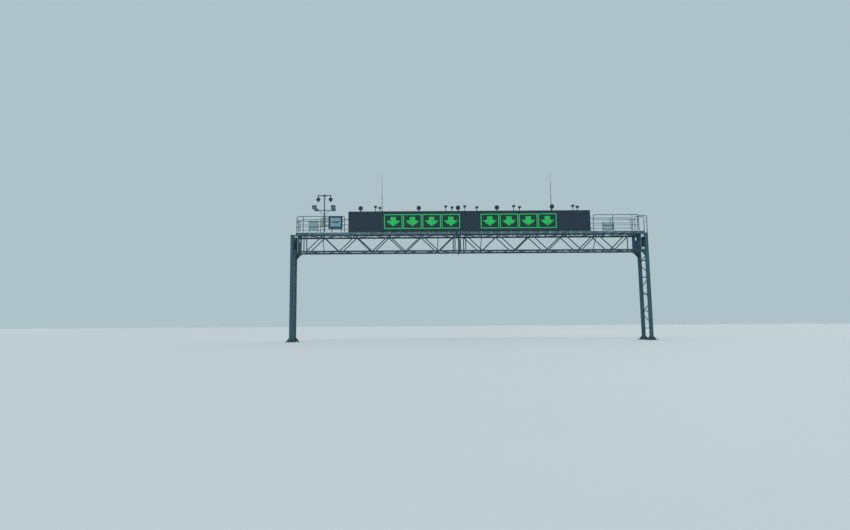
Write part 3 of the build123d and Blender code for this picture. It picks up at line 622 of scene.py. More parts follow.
def plate(points, thickness):
    """Fills the outline through the points and gives it a thickness."""
    outline([*points, points[0]])
    bpy.ops.mesh.remove_doubles(threshold=0.0002)
    bpy.ops.mesh.edge_face_add()
    bpy.ops.mesh.extrude_region_move(TRANSFORM_OT_translate={"value": Vector(thickness)})


def spun(point, axis, profile, steps=32):
    """Spins pairs of a distance along the axis and a radius about the axis."""
    axis = Vector(axis).normalized()
    side = axis.orthogonal().normalized()
    outline([Vector(point) + axis * distance + side * radius for distance, radius in profile])
    bpy.ops.mesh.spin(steps=steps, angle=2 * pi, center=point, axis=axis)
    bpy.ops.mesh.select_all(action="SELECT")
    bpy.ops.mesh.remove_doubles(threshold=0.0002)


def bolted_pad(x, y, level, half, inset, head_rise, head_width):
    """A square pad with four bolts, at the inset to either side of its middle."""
    block((-half, -half, 0), (half, half, 0.01), 0.002, 1, (x, y, level))
    for i in (-inset, inset):
        for j in (-inset, inset):
            post(x + i, y + j, level + 0.01, level + head_rise, head_width, 6)


def foot(x, y):
    """A rail post's foot on the deck, with a collar."""
    bolted_pad(x, y, deck_top, 0.055, 0.039, 0.02, 0.018)
    post(x, y, deck_top + 0.01, deck_top + 0.018, 0.062, 16)


def stand(x, y, height):
    """A tube on a bolted pad, from the top of the board to a height above it."""
    post(x, y, board_high.z, board_high.z + height, 0.05, 16)
    bolted_pad(x, y, board_high.z, 0.04, 0.029, 0.018, 0.014)


def spread(start, end, pitch):
    count = max(1, round(abs(end - start) / pitch))
    return [start + index * (end - start) / count for index in range(count + 1)]


class GANTRY_OT_paint_frame(bpy.types.Operator):
    """Paint every CAD node of the gantry"""

    bl_idname = "gantry.paint_frame"
    bl_label = "Paint the frame"

    def execute(self, context):
        mix_finishes()
        for name, node in frame["nodes"].items():
            matches = [finish for finish, starts in cad_finishes.items() if name.startswith(starts)]
            if not matches:
                raise RuntimeError(f"no finish is named for {name}")
            if not node.material_slots:
                node.data.materials.append(None)
            for place in node.material_slots:
                place.material = finishes[matches[0]]
        return {"FINISHED"}


def leg_ribs(x, y, leg_radius):
    """Four upright ribs between a leg and its base plate."""
    inner = leg_radius - 0.01
    corners = ((inner, 0), (rib_reach, 0), (rib_reach, rib_toe),
               (leg_radius + 0.012, rib_height), (inner, rib_height))
    for turn in range(4):
        outward = Vector((cos(turn * pi / 2), sin(turn * pi / 2), 0))
        across = Vector((-outward.y, outward.x, 0)) * 0.006
        base = Vector((x, y, base_plate)) - across
        points = [base + outward * out + Vector((0, 0, rise)) for out, rise in corners]
        plate(points, across * 2)


class GANTRY_OT_legs(bpy.types.Operator):
    """Four round legs with ribbed base plates, seams and cap plates"""

    bl_idname = "gantry.legs"
    bl_label = "Legs"

    def execute(self, context):
        width = sizes().leg_tube
        for side_name, x in leg_ends:
            for face_name, y in faces:
                node = f"leg_{face_name}_{side_name}"
                low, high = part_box(node)
                open_piece(f"round_{node}")
                block((low.x, low.y, 0), (high.x, high.y, base_plate), 0.004)
                post(x, y, 0.02, high.z - 0.013, width, 48)
                post(x, y, high.z - 0.014, high.z, width + 0.024, 48)
                for level in seam_levels:
                    post(x, y, level - 0.004, level + 0.004, width + 0.006, 48)
                leg_ribs(x, y, width / 2)
                close_piece("frame_paint", "steel_frame", node)
        return {"FINISHED"}


class GANTRY_OT_leg_bracing(bpy.types.Operator):
    """Zigzag tubes between the front and the rear leg"""

    bl_idname = "gantry.leg_bracing"
    bl_label = "Leg bracing"

    def execute(self, context):
        width = sizes().leg_brace
        for side_name, x in leg_ends:
            open_piece(f"round_leg_bracing_{side_name}")
            tube((x, side_line, top_brace_rear), (x, -side_line, top_brace_front), width)
            level = top_brace_front
            y = -side_line
            for _ in range(lower_braces):
                tube((x, y, level), (x, -y, level - brace_fall), width)
                y = -y
                level -= brace_fall + (gap_at_rear if y > 0 else gap_at_front)
            close_piece("truss_paint", "steel_frame", f"leg_bracing_{side_name}")
        return {"FINISHED"}


def zigzag(first, last, bays, low_at):
    """Pairs of a place along the truss and whether the web meets the bottom chord there."""
    bay = (last - first) / bays
    return [(first + index * bay, index % 2 == low_at) for index in range(bays + 1)]


def truss_face(side_name, ends, posts, nodes):
    size = sizes()
    points = [(x, bottom_chord if low else top_chord) for x, low in nodes]
    for face_name, y in faces:
        node = f"truss_{face_name}_{side_name}"
        open_piece(f"round_{node}")
        for level in (bottom_chord, top_chord):
            tube((ends[0], y, level), (ends[1], y, level), size.chord_tube, 32)
        for x in posts:
            post(x, y, bottom_chord, top_chord, size.web_tube)
        for (x, z), (next_x, next_z) in zip(points, points[1:]):
            tube((x, y, z), (next_x, y, next_z), size.web_tube)
        close_piece("truss_paint", "steel_frame", node)


def truss_bracing(side_name, end_post, nodes):
    width = sizes().brace_tube
    for level_name, level in (("top", top_chord), ("bottom", bottom_chord)):
        node = f"truss_{level_name}_bracing_{side_name}"
        open_piece(f"round_{node}")
        for x in (end_post, *(x for x, _ in nodes)):
            tube((x, -side_line, level), (x, side_line, level), width, 16)
        for index, ((x, _), (next_x, _)) in enumerate(zip(nodes, nodes[1:])):
            side = side_line if index % 2 else -side_line
            tube((x, side, level), (next_x, -side, level), width, 16)
        close_piece("truss_paint", "steel_frame", node)


def cross_braces(halves):
    width = sizes().brace_tube
    open_piece("round_truss_cross_braces")
    for nodes in halves:
        for node in sway_nodes:
            x = nodes[node][0]
            tube((x, -sway_reach, top_chord), (x, sway_reach, bottom_chord), width, 16)
    close_piece("truss_paint", "steel_frame", "truss_cross_braces")


class GANTRY_OT_truss(bpy.types.Operator):
    """Round chords, end posts, webs and bracing of the truss"""

    bl_idname = "gantry.truss"
    bl_label = "Truss"

    def execute(self, context):
        inset = 0.02
        left = zigzag(first_node_x, splice_left_x, left_bays, 0)
        right = zigzag(splice_right_x, last_node_x, right_bays, 1)
        left_ends = (plate_low.x + inset, splice_x - inset)
        right_ends = (splice_x + inset, plate_high.x - inset)
        truss_face("left", left_ends, (-end_post_x, splice_left_x), left)
        truss_bracing("left", -end_post_x, left)
        truss_face("right", right_ends, (splice_right_x, end_post_x), right)
        truss_bracing("right", end_post_x, right)
        cross_braces((left, right))
        return {"FINISHED"}


def flange_bolt(x, y, z, direction):
    """A washer, a head and a stub of thread, by their distances from the plate."""
    width = sizes().bolt_head
    for near, far, across, sides in (
        (0, 0.004, width * 1.25, 16),
        (0.004, 0.024, width, 6),
        (0.02, 0.036, width * 0.55, 12),
    ):
        tube((x + direction * near, y, z), (x + direction * far, y, z), across, sides)


def bolt_ring():
    """Places on Y and Z of the bolts round the edge of an end plate."""
    edge = 0.042
    corner = 0.06
    pitch = 0.2
    half_y = plate_high.y - edge
    low = plate_low.z + edge
    high = plate_high.z - edge
    across = spread(-half_y + corner, half_y - corner, pitch)
    up = spread(low + corner, high - corner, pitch)
    places = [(y, z) for z in (low, high) for y in across]
    return places + [(y, z) for y in (-half_y, half_y) for z in up]


class GANTRY_OT_bolts(bpy.types.Operator):
    """Anchor nuts on the base plates and bolts round the end and splice plates"""

    bl_idname = "gantry.bolts"
    bl_label = "Bolts"

    def execute(self, context):
        reach = anchor_radius * cos(pi / 4)
        corners = [(i, j) for i in (-reach, reach) for j in (-reach, reach)]
        feet = [(x, y) for _, x in leg_ends for _, y in faces]
        anchors = [(x + i, y + j, base_plate) for x, y in feet for i, j in corners]
        open_piece("anchor_nuts")
        x, y, z = anchors[0]
        post(x, y, z, z + 0.005, 0.074, 20)
        post(x, y, z + 0.005, z + 0.034, 0.058, 6)
        cone((x, y, z + 0.034), (x, y, z + 0.038), 0.058, 0.048, 6)
        post(x, y, z - 0.02, z + 0.08, 0.03, 14)
        cone((x, y, z + 0.08), (x, y, z + 0.085), 0.03, 0.022, 14)
        copy_to(anchors[0], anchors[1:])
        close_piece("zinc_coating", "steel_frame")

        half_plate = 0.02
        open_piece("flange_bolts")
        for y, z in bolt_ring():
            for direction in (-1, 1):
                flange_bolt(plate_low.x + direction * half_plate, y, z, direction)
        copy_along(plate_low.x, (splice_x, plate_high.x))
        close_piece("zinc_coating", "steel_frame")
        return {"FINISHED"}


def handrail(name, y, ends, posts):
    size = sizes()
    top = deck_top + size.rail_rise
    left, right = ends
    corners = ((left, y, deck_top), (left, y, top), (right, y, top), (right, y, deck_top))
    open_piece(f"round_handrail_{name}")
    bent_tube(corners, size.rail_bend, size.rail_tube)
    for drop in mid_rail_drops:
        tube((left, y, top - drop), (right, y, top - drop), size.mid_rail_tube, 14)
    for x in posts:
        post(x, y, deck_top, top, size.rail_tube, 16)
    for x in (*ends, *posts):
        foot(x, y)
    close_piece("rail_paint", "steel_rail", f"handrail_{name}")


def end_rail():
    size = sizes()
    x = -rail_corner_x
    top = deck_top + size.rail_rise
    open_piece("round_handrail_end_left")
    for drop in (size.rail_bend, *mid_rail_drops):
        level = top - drop
        tube((x, rail_front_y, level), (x, rail_rear_y, level), size.mid_rail_tube, 14)
    post(x, 0, deck_top, top - size.rail_bend, size.rail_tube, 16)
    foot(x, 0)
    close_piece("rail_paint", "steel_rail", "handrail_end_left")


class GANTRY_OT_handrails(bpy.types.Operator):
    """Bent handrails with mid rails, posts and bolted feet"""

    bl_idname = "gantry.handrails"
    bl_label = "Handrails"

    def execute(self, context):
        board_stop = board_high.x + 0.28
        first_post = 0.44
        half_gap = 0.11
        middle = (right_corner_x - rail_corner_x) / 2
        left_posts = spread(-rail_corner_x + first_post, -board_stop, post_pitch)[:-1]
        right_posts = spread(right_corner_x - first_post, board_stop, post_pitch)[:-1]
        handrail("front_left", rail_front_y, (-rail_corner_x, -board_stop), left_posts)
        handrail("front_right", rail_front_y, (board_stop, right_corner_x), right_posts)
        for side_name, ends in (
            ("left", (-rail_corner_x, middle - half_gap)),
            ("right", (middle + half_gap, right_corner_x)),
        ):
            handrail(f"rear_{side_name}", rail_rear_y, ends, spread(*ends, post_pitch)[1:-1])
        end_rail()
        return {"FINISHED"}


class GANTRY_OT_ladder(bpy.types.Operator):
    """Ladder with round rungs, and the two grab hoops at its head"""

    bl_idname = "gantry.ladder"
    bl_label = "Ladder"

    def execute(self, context):
        low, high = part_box("ladder")
        x = (low.x + high.x) / 2
        open_piece("round_rung_ladder")
        for y in (-ladder_half, ladder_half):
            block((low.x, y - 0.008, low.z), (high.x, y + 0.008, high.z), 0.002, 1)
        rung_half = ladder_half + 0.007
        collar = ladder_half - 0.008
        level = low.z + rung_pitch / 2
        while level < high.z - 0.02:
            tube((x, -rung_half, level), (x, rung_half, level), 0.028, 12)
            for y in (-collar, collar):
                tube((x, y - 0.003, level), (x, y + 0.003, level), 0.036, 12)
            level += rung_pitch
        close_piece("rail_paint", "steel_rail", "ladder")

        open_piece("round_ladder_hoops")
        inner = leg_x - hoop_setback
        top = deck_top + hoop_rise
        for y in (-ladder_half, ladder_half):
            corners = ((inner, y, deck_top), (inner, y, top), (x, y, top), (x, y, deck_top))
            bent_tube(corners, sizes().rail_bend, sizes().rail_tube)
            foot(inner, y)
        close_piece("rail_paint", "steel_rail", "ladder_hoops")
        return {"FINISHED"}


def is_lit(column, row):
    """True for the dots of a cell's frame and of the arrow that points down in it."""
    if column in (0, dot_columns - 1) or row in (0, dot_rows - 1):
        return True
    off_centre = abs(column - (dot_columns - 1) / 2)
    in_shaft = row in shaft_rows and off_centre < shaft_half
    in_head = row in head_rows and off_centre < (row - 2) * head_slope
    return in_shaft or in_head


class GANTRY_OT_board_screen(bpy.types.Operator):
    """Lit dots of the message board: two groups of four framed lane arrows"""

    bl_idname = "gantry.board_screen"
    bl_label = "Lit dots"

    def execute(self, context):
        pitch = sizes().led_pitch
        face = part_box("board_face")[0].y + 0.0005
        low_z = (board_low.z + board_high.z) / 2 + 0.03 - dot_rows * pitch / 2
        starts = [start + index * cell_pitch for start in group_starts for index in range(4)]
        origin = Vector((starts[0], face, low_z))
        places = [
            origin + Vector((column * pitch, 0, row * pitch))
            for row in range(dot_rows) for column in range(dot_columns) if is_lit(column, row)
        ]
        x, y, z = places[0]
        open_piece("lit_lane_arrows")
        cone((x, y, z), (x, y - 0.005, z), pitch * 0.94, pitch * 0.6, 10)
        copy_to(places[0], places[1:])
        copy_along(starts[0], starts[1:])
        close_piece("board_lit_dots", "board_screen")
        return {"FINISHED"}


class GANTRY_OT_board_case(bpy.types.Operator):
    """Rear doors of the message board with hinges, vents and handles"""

    bl_idname = "gantry.board_case"
    bl_label = "Board case"

    def execute(self, context):
        back = board_high.y
        margin = 0.05
        door = (board_high.x - board_low.x - 2 * margin) / rear_doors
        left = board_low.x + margin
        right = left + door
        low = deck_top + 0.06
        high = board_high.z - 0.06
        open_piece("board_rear_doors")
        block((left + 0.02, back - 0.002, low), (right - 0.02, back + 0.012, high), 0.004)
        for slat in range(6):
            z = low + 0.12 + slat * 0.035
            block((left + 0.3, back + 0.01, z), (right - 0.3, back + 0.02, z + 0.012), 0.003)
        hinges = (low + 0.2, board_high.z - 0.3)
        rings(left + 0.045, back + 0.018, hinges, 0.1, 0.018, 10)
        handle = (right, back, handle_level)
        block((-0.11, 0.01, 0), (-0.07, 0.03, 0.14), 0.006, 2, handle)
        copy_along(0, [index * door for index in range(1, rear_doors)])
        close_piece("board_case_paint", "board_case")
        return {"FINISHED"}


class GANTRY_OT_lamps(bpy.types.Operator):
    """Round lamps on stands along the top of the board"""

    bl_idname = "gantry.lamps"
    bl_label = "Lamps"

    def execute(self, context):
        radius = sizes().lamp_drum / 2
        glass_radius = radius - 0.03
        x, height = lamp_places[0]
        y = board_low.y + 0.045
        centre = (x, y, board_high.z + height)
        copies = [(place, 0, rise - height) for place, rise in lamp_places[1:]]
        drum = ((-0.053, glass_radius), (-0.055, radius - 0.004), (-0.05, radius), (0.01, radius),
                (0.038, glass_radius), (0.053, radius - 0.07), (0.055, 0.0))
        reflector = ((-0.045, 0.0), (-0.045, glass_radius), (-0.053, glass_radius))
        band = ((-0.004, -0.004), (-0.003, 0.003), (0.003, 0.003), (0.004, -0.004))
        open_piece("round_lamps")
        spun(centre, along_y, drum)
        spun(centre, along_y, reflector)
        for ring in (-0.03, -0.012, 0.006):
            profile = [(ring + along, radius + out) for along, out in (*band, band[0])]
            spun(centre, along_y, profile)
        copy_to((x, 0, 0), copies)
        for place, rise in lamp_places:
            stand(place, y, rise)
        close_piece("lamp_paint", "lamp_housing", "board_lamps")

        open_piece("lamp_lenses")
        angles = [index * pi / 16 for index in range(9)]
        lens = [(-0.047 - 0.006 * cos(angle), (radius - 0.031) * sin(angle)) for angle in angles]
        spun(centre, along_y, [*lens, (-0.044, 0.0)])
        copy_to((x, 0, 0), copies)
        close_piece("lamp_glass", "lamp_housing")
        return {"FINISHED"}


class GANTRY_OT_cameras(bpy.types.Operator):
    """Hooded cameras on stands along the top of the board"""

    bl_idname = "gantry.cameras"
    bl_label = "Cameras"

    def execute(self, context):
        x, height = camera_places[0]
        y = board_low.y + 0.14
        z = board_high.z + height
        middle = (x, y, z)
        copies = [(place, 0, rise - height) for place, rise in camera_places[1:]]
        open_piece("hooded_cameras")
        block((-0.085, -0.12, -0.053), (0.085, 0.138, 0.053), 0.016, 3, middle)
        block((-0.078, -0.136, -0.047), (0.078, -0.116, 0.047), 0.006, 2, middle)
        block((-0.1, -0.166, 0.046), (0.1, 0.07, 0.06), 0.005, 2, middle)
        for wing in (x - 0.095, x + 0.095):
            block((-0.004, -0.16, 0.012), (0.004, 0.066, 0.05), 0.002, 1, (wing, y, z))
        post(x, y, z - 0.09, z - 0.05, 0.072, 16)
        tube((x, y + 0.12, z - 0.025), (x, y + 0.139, z - 0.025), 0.03, 10)
        copy_to((x, 0, 0), copies)
        for place, rise in camera_places:
            stand(place, y, rise - 0.055)
        close_piece("camera_paint", "camera_housing", "board_cameras")

        open_piece("camera_lenses")
        rim = ((-0.004, 0.0), (-0.004, 0.026), (-0.01, 0.032), (-0.01, 0.04), (0.01, 0.042),
               (0.01, 0.0))
        spun((x, y - 0.132, z), along_y, rim, 24)
        copy_to((x, 0, 0), copies)
        close_piece("camera_glass", "camera_housing")
        return {"FINISHED"}


class GANTRY_OT_rods(bpy.types.Operator):
    """Stepped lightning rods in sockets behind the lamps"""

    bl_idname = "gantry.rods"
    bl_label = "Lightning rods"

    def execute(self, context):
        for side_name, _ in leg_ends:
            node = f"lightning_rod_{side_name}"
            low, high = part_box(node)
            x = (low.x + high.x) / 2
            y = (low.y + high.y) / 2
            steps = ((0.0, 0.0), (0.0, 0.03), (0.142, 0.03), (0.15, 0.022), (0.15, 0.02),
                     (1.092, 0.02), (1.1, 0.014), (1.992, 0.014), (2.0, 0.008), (2.7, 0.008),
                     (high.z - low.z, 0.0))
            open_piece(f"round_{node}")
            block((-0.04, -0.04, 0), (0.04, 0.04, 0.012), 0.002, 1, (x, y, low.z))
            spun((x, y, low.z), (0, 0, 1), steps, 20)
            for level in (0.06, 0.11):
                tube((x, y - 0.036, low.z + level), (x, y, low.z + level), 0.014, 6)
            close_piece("rod_steel", "rod_steel", node)
        return {"FINISHED"}


def mast_pole(top, clamp):
    width = 0.095
    face = deck_top + 0.01
    open_piece("round_camera_mast")
    post(mast_x, mast_y, deck_top, top - 0.004, width, 28)
    cone((mast_x, mast_y, top - 0.004), (mast_x, mast_y, top), width, 0.08, 28)
    block((mast_low.x, mast_low.y, deck_top), (mast_high.x, mast_high.y, face), 0.002, 1)
    for i in (-0.1, 0.1):
        for j in (-0.063, 0.087):
            post(mast_x + i, mast_y + j, face, deck_top + 0.028, 0.026, 6)
    low, high = clamp - 0.045, clamp + 0.045
    post(mast_x, mast_y, low, high, 0.15, 28)
    front = rail_front_y + 0.0275
    block((mast_x - 0.03, front, low), (mast_x + 0.03, mast_y, high), 0.004)
    rings(mast_x, mast_y, [deck_top + rise for rise in band_rises], 0.012, 0.101, 28)
    close_piece("mast_paint", "steel_frame", "camera_mast")


def mast_arms(arm, bar):
    open_piece("round_mast_arms")
    for level, reach, width in ((arm, 0.46, 0.06), (bar, 0.395, 0.05)):
        tube((mast_x - reach, mast_y, level), (mast_x + reach, mast_y, level), width)
    for hand in (-1, 1):
        tube((mast_x + hand * 0.375, mast_y, bar), (mast_x, mast_y, bar - 0.34), 0.03, 14)
        gusset = ((0.04, 0), (0.2, 0), (0.047, -0.11), (0.04, -0.11))
        corners = [(mast_x + hand * out, mast_y - 0.006, arm + rise) for out, rise in gusset]
        plate(corners, (0, 0.012, 0))
    for level in (arm, bar):
        post(mast_x, mast_y, level - 0.04, level + 0.04, 0.105, 28)
    close_piece("truss_paint", "steel_frame", "mast_arms")


def mast_heads(bar):
    """Flood lamps under the lower bar's ends, and a pair of box cameras on each."""
    floods = (mast_x - 0.55, mast_x + 0.64)
    pairs = (mast_x - 0.69, mast_x + 0.61)
    bar_ends = (mast_x - 0.396, mast_x + 0.396)
    half_pitch = 0.085
    low = bar + 0.12
    open_piece("mast_head_housings")
    for flood, pair, bar_end in zip(floods, pairs, bar_ends):
        lamp = (flood, mast_y, low)
        tube((bar_end, mast_y, bar), (flood, mast_y, bar), 0.05, 16)
        block((-0.15, -0.083, -0.16), (0.15, 0.05, 0), 0.03, 3, lamp)
        block((-0.115, 0.04, -0.125), (0.115, 0.09, -0.035), 0.02, 2, lamp)
        for fin in range(7):
            x = flood - 0.09 + fin * 0.03
            block((-0.003, 0.04, -0.14), (0.003, 0.088, -0.02), 0.001, 1, (x, mast_y, low))
        block((-0.16, -0.08, -0.02), (0.16, 0.08, 0), 0.004, 2, (pair, mast_y, low))
        for x in (pair - half_pitch, pair + half_pitch):
            block((-0.075, -0.135, 0), (0.075, 0.15, 0.232), 0.02, 3, (x, mast_y, low))
            block((-0.075, -0.15, 0.226), (0.075, 0.1, 0.24), 0.004, 2, (x, mast_y, low))
    close_piece("mast_paint", "lamp_housing", "mast_heads")

    rim = ((-0.002, 0.0), (-0.003, 0.036), (-0.009, 0.042), (-0.009, 0.05), (0.006, 0.052),
           (0.006, 0.0))
    open_piece("mast_head_lenses")
    for flood, pair in zip(floods, pairs):
        lens = (flood, mast_y, low)
        block((-0.125, -0.088, -0.135), (0.125, -0.078, -0.025), 0.004, 2, lens)
        for x in (pair - half_pitch, pair + half_pitch):
            spun((x, mast_y - 0.135, low + 0.15), along_y, rim, 24)
    close_piece("camera_glass", "lamp_housing")


class GANTRY_OT_mast(bpy.types.Operator):
    """Camera mast with its clamp, arms, flood lamps and camera heads"""

    bl_idname = "gantry.mast"
    bl_label = "Camera mast"

    def execute(self, context):
        mast_pole(mast_high.z, deck_top + sizes().rail_rise)
        mast_arms(deck_top + arm_rise, deck_top + bar_rise)
        mast_heads(deck_top + bar_rise)
        return {"FINISHED"}


class GANTRY_OT_domes(bpy.types.Operator):
    """Dome cameras that hang from the mast's top arm"""

    bl_idname = "gantry.domes"
    bl_label = "Dome cameras"

    def execute(self, context):
        housing = ((0.0, 0.0), (0.0, 0.039), (0.13, 0.039), (0.145, 0.05), (0.152, 0.1),
                   (0.16, 0.122), (0.175, 0.138), (0.19, 0.144), (0.262, 0.144), (0.274, 0.138),
                   (0.274, 0.0))
        angles = [index * pi / 18 for index in range(9)]
        curve = [(0.272 + 0.15 * sin(angle), 0.118 * cos(angle) ** 0.75) for angle in angles]
        for side_name, _ in leg_ends:
            node = f"dome_camera_{side_name}"
            low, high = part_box(node)
            x = (low.x + high.x) / 2
            place = (x, mast_y, high.z)
            open_piece(f"dome_housing_{side_name}")
            spun(place, (0, 0, -1), housing, 36)
            seams = [high.z - drop for drop in (0.2, 0.225, 0.25)]
            rings(x, mast_y, seams, -0.004, 0.2896, 36)
            close_piece("lamp_paint", "camera_housing", node)
            open_piece(f"dome_bubble_{side_name}")
            spun(place, (0, 0, -1), [(0.272, 0.0), *curve, (0.422, 0.0)], 36)
            close_piece("camera_glass", "camera_housing")
        return {"FINISHED"}


def cabinet_fittings(side_name, body):
    low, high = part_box(f"cabinet_{side_name}")
    width = high.x - low.x
    back = high.y - 0.02
    front = low.y - 0.003
    base = high.z - 0.03 - body
    middle = (base + high.z) / 2
    vent_left, vent_right = low.x + width * 0.25, high.x - width * 0.25
    open_piece(f"cabinet_fittings_{side_name}")
    for slat in range(5):
        z = base + 0.1 + slat * 0.028
        block((vent_left, back, z), (vent_right, back + 0.008, z + 0.01), 0.002, 1)
    rings(low.x + 0.068, back + 0.004, (base + 0.12, high.z - 0.2), 0.07, 0.014, 10)
    block((-0.14, 0, -0.05), (-0.115, 0.018, 0.05), 0.004, 2, (high.x, back, middle))
    door = (high.x - 0.07, front + 0.005, high.z - 0.08)
    block((low.x + 0.07, front, base + 0.05), door, 0.001, 1)
    for share in (0.3, 0.5, 0.7):
        post(low.x + width * share, low.y + 0.12, base, max(base - 0.045, deck_top), 0.03, 8)
    close_piece("cabinet_paint", "cabinet_grey")


class GANTRY_OT_cabinets(bpy.types.Operator):
    """Doors, hinges, locks, vents and glands of the control box and the cabinets"""

    bl_idname = "gantry.cabinets"
    bl_label = "Cabinets"

    def execute(self, context):
        for side_name, body in cabinet_bodies.items():
            cabinet_fittings(side_name, body)
        low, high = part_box("mast_box")
        door = high.y - 0.014
        rim = 0.012
        open_piece("control_box")
        block((low.x, low.y, low.z), (high.x, door, high.z), 0.008)
        block((low.x + rim, door - 0.002, low.z + rim), (high.x - rim, high.y, high.z - rim), 0.005)
        rings(low.x + 0.01, high.y - 0.01, (low.z + 0.08, high.z - 0.14), 0.06, 0.016, 10)
        close_piece("mast_box_paint", "cabinet_grey", "mast_box")
        return {"FINISHED"}


class GANTRY_OT_panel(bpy.types.Operator):
    """Glazing beads and the dark slot of the framed panel"""

    bl_idname = "gantry.panel"
    bl_label = "Framed panel"

    def execute(self, context):
        low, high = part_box("panel_glass")
        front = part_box("panel_frame")[0].y
        lap, inner = 0.012, 0.006
        open_piece("panel_beads")
        for left, bottom, right, top in (
            (low.x - lap, low.z - lap, high.x + lap, low.z + inner),
            (low.x - lap, high.z - inner, high.x + lap, high.z + lap),
            (low.x - lap, low.z, low.x + inner, high.z),
            (high.x - inner, low.z, high.x + lap, high.z),
        ):
            block((left, front, bottom), (right, front + 0.016, top), 0.003, 1)
        close_piece("panel_frame_paint", "panel_frame")

        x, _, z = (low + high) / 2
        open_piece("panel_dark_slot")
        block((-0.2, -0.012, -0.02), (0.2, 0.004, 0.05), 0.004, 2, (x, low.y, z))
        close_piece("camera_glass", "panel_glass")
        return {"FINISHED"}


class GANTRY_OT_riser(bpy.types.Operator):
    """Round conduit at the splice with its clips"""

    bl_idname = "gantry.riser"
    bl_label = "Cable riser"

    def execute(self, context):
        step = 0.2
        y = (riser_low.y + riser_high.y) / 2
        lower_x = riser_high.x - 0.0307
        upper_x = lower_x - step
        elbow = top_chord - 0.12
        points = ((upper_x, y, riser_high.z), (upper_x, y, elbow),
                  (lower_x, y, elbow - step), (lower_x, y, bottom_chord))
        open_piece("round_cable_riser")
        bent_tube(points, 0.12, 0.06, 20, 5)
        rings(lower_x, y, clip_levels, 0.03, 0.0612, 20)
        close_piece("conduit_paint", "conduit", "cable_riser")
        return {"FINISHED"}


def stage_floor():
    bpy.ops.object.select_all(action="DESELECT")
    bpy.ops.mesh.primitive_plane_add(size=600, location=(0, 0, -0.002))
    floor = bpy.context.object
    floor.name = "stage_floor"
    sheet = Finish("stage_floor_paint")
    grain = sheet.noise(0.4).ramp(0.3, 0.7) * 0.1
    tone = tuple(colours().floor)
    sheet.set(Base_Color=sheet.blend(grain, tone, shaded(tone, 0.94)), Roughness=0.9)
    floor.data.materials.append(sheet.material)


def stage_sky(scene):
    """Lights with a soft pale sky, and shows the backdrop's colour to the camera."""
    world = bpy.data.worlds.new("stage_sky")
    world.use_nodes = True
    sheet = NodeSheet(world.node_tree)
    light = {"Color": (0.93, 0.97, 1.0), "Strength": 0.62}
    shown = {"Color": tuple(colours().sky), "Strength": 1.0}
    ray = sheet.node("ShaderNodeLightPath")
    kinds = ("Is Camera Ray", "Is Transmission Ray", "Is Glossy Ray")
    camera, through, mirrored = (Signal(sheet, ray.outputs[kind]) for kind in kinds)
    choice = sheet.add("ShaderNodeMixShader", 0, {}, {
        0: (camera + through + mirrored).hold(),
        1: sheet.add("ShaderNodeBackground", 0, {}, light),
        2: sheet.add("ShaderNodeBackground", 0, {}, shown),
    })
    sheet.node("ShaderNodeOutputWorld", {}, {"Surface": choice})
    scene.world = world


def stage_lamps():
    """Two soft suns, by their turn in degrees, strength and angular width in degrees."""
    for name, turn, strength, angle in (
        ("key", (48, 0, -28), 1.25, 50),
        ("fill", (62, 0, 140), 0.7, 70),
    ):
        rotation = [radians(value) for value in turn]
        bpy.ops.object.light_add(type="SUN", location=(0, 0, 30), rotation=rotation)
        lamp = bpy.context.object
        lamp.name = f"stage_{name}_light"
        lamp.data.energy = strength
        lamp.data.angle = radians(angle)


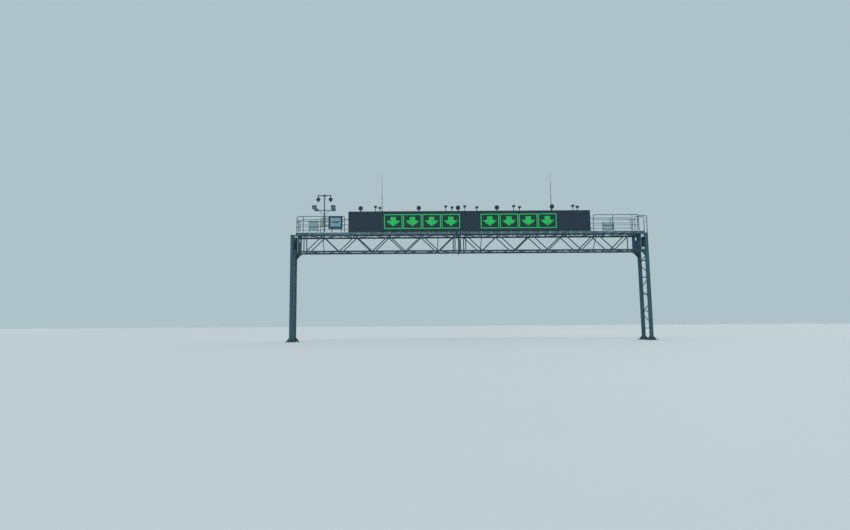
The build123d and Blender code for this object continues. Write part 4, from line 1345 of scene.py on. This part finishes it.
def stage_camera(scene):
    """A camera that looks along +Y, turned by the view's yaw, pitch and roll in degrees."""
    bpy.ops.object.camera_add()
    camera = bpy.context.object
    camera.name = "photo_camera"
    turn = Matrix.Translation(view_place)
    for angle, axis in ((-view_yaw, "Z"), (90 + view_pitch, "X"), (view_roll, "Z")):
        turn = turn @ Matrix.Rotation(radians(angle), 4, axis)
    camera.matrix_world = turn
    camera.data.sensor_width = sensor_width
    camera.data.lens = focal_pixels / photo_width * sensor_width
    camera.data.shift_x, camera.data.shift_y = (shift / photo_width for shift in shift_pixels)
    camera.data.clip_end = 2000
    scene.camera = camera


class GANTRY_OT_stage(bpy.types.Operator):
    """Pale floor and backdrop, soft light and the camera at the photograph's angle"""

    bl_idname = "gantry.stage"
    bl_label = "Stage"

    def execute(self, context):
        context.scene.view_settings.view_transform = "Standard"
        stage_floor()
        stage_sky(context.scene)
        stage_lamps()
        stage_camera(context.scene)
        return {"FINISHED"}


piece_operators = (
    GANTRY_OT_paint_frame,
    GANTRY_OT_legs,
    GANTRY_OT_leg_bracing,
    GANTRY_OT_truss,
    GANTRY_OT_bolts,
    GANTRY_OT_handrails,
    GANTRY_OT_ladder,
    GANTRY_OT_board_screen,
    GANTRY_OT_board_case,
    GANTRY_OT_lamps,
    GANTRY_OT_cameras,
    GANTRY_OT_rods,
    GANTRY_OT_mast,
    GANTRY_OT_domes,
    GANTRY_OT_cabinets,
    GANTRY_OT_panel,
    GANTRY_OT_riser,
    GANTRY_OT_stage,
)


class GANTRY_PT_sidebar(bpy.types.Panel):
    """Lists the gantry's sizes, colours and pieces"""

    bl_idname = "GANTRY_PT_sidebar"
    bl_label = "Gantry"
    bl_space_type = "VIEW_3D"
    bl_region_type = "UI"
    bl_category = "Gantry"

    def draw(self, context):
        for group in (sizes(), colours()):
            box = self.layout.box()
            for name in type(group).__annotations__:
                box.prop(group, name)
        for operator in piece_operators:
            self.layout.operator(operator.bl_idname)


all_classes = (GantrySizes, GantryColours, *piece_operators, GANTRY_PT_sidebar)


def register():
    for item in all_classes:
        bpy.utils.register_class(item)
    bpy.types.Scene.gantry_sizes = bpy.props.PointerProperty(type=GantrySizes)
    bpy.types.Scene.gantry_colours = bpy.props.PointerProperty(type=GantryColours)


def unregister():
    del bpy.types.Scene.gantry_colours
    del bpy.types.Scene.gantry_sizes
    for item in reversed(all_classes):
        bpy.utils.unregister_class(item)


def main():
    register()
    for operator in piece_operators:
        group, name = operator.bl_idname.split(".")
        getattr(getattr(bpy.ops, group), name)()


if __name__ == "__main__":
    main()
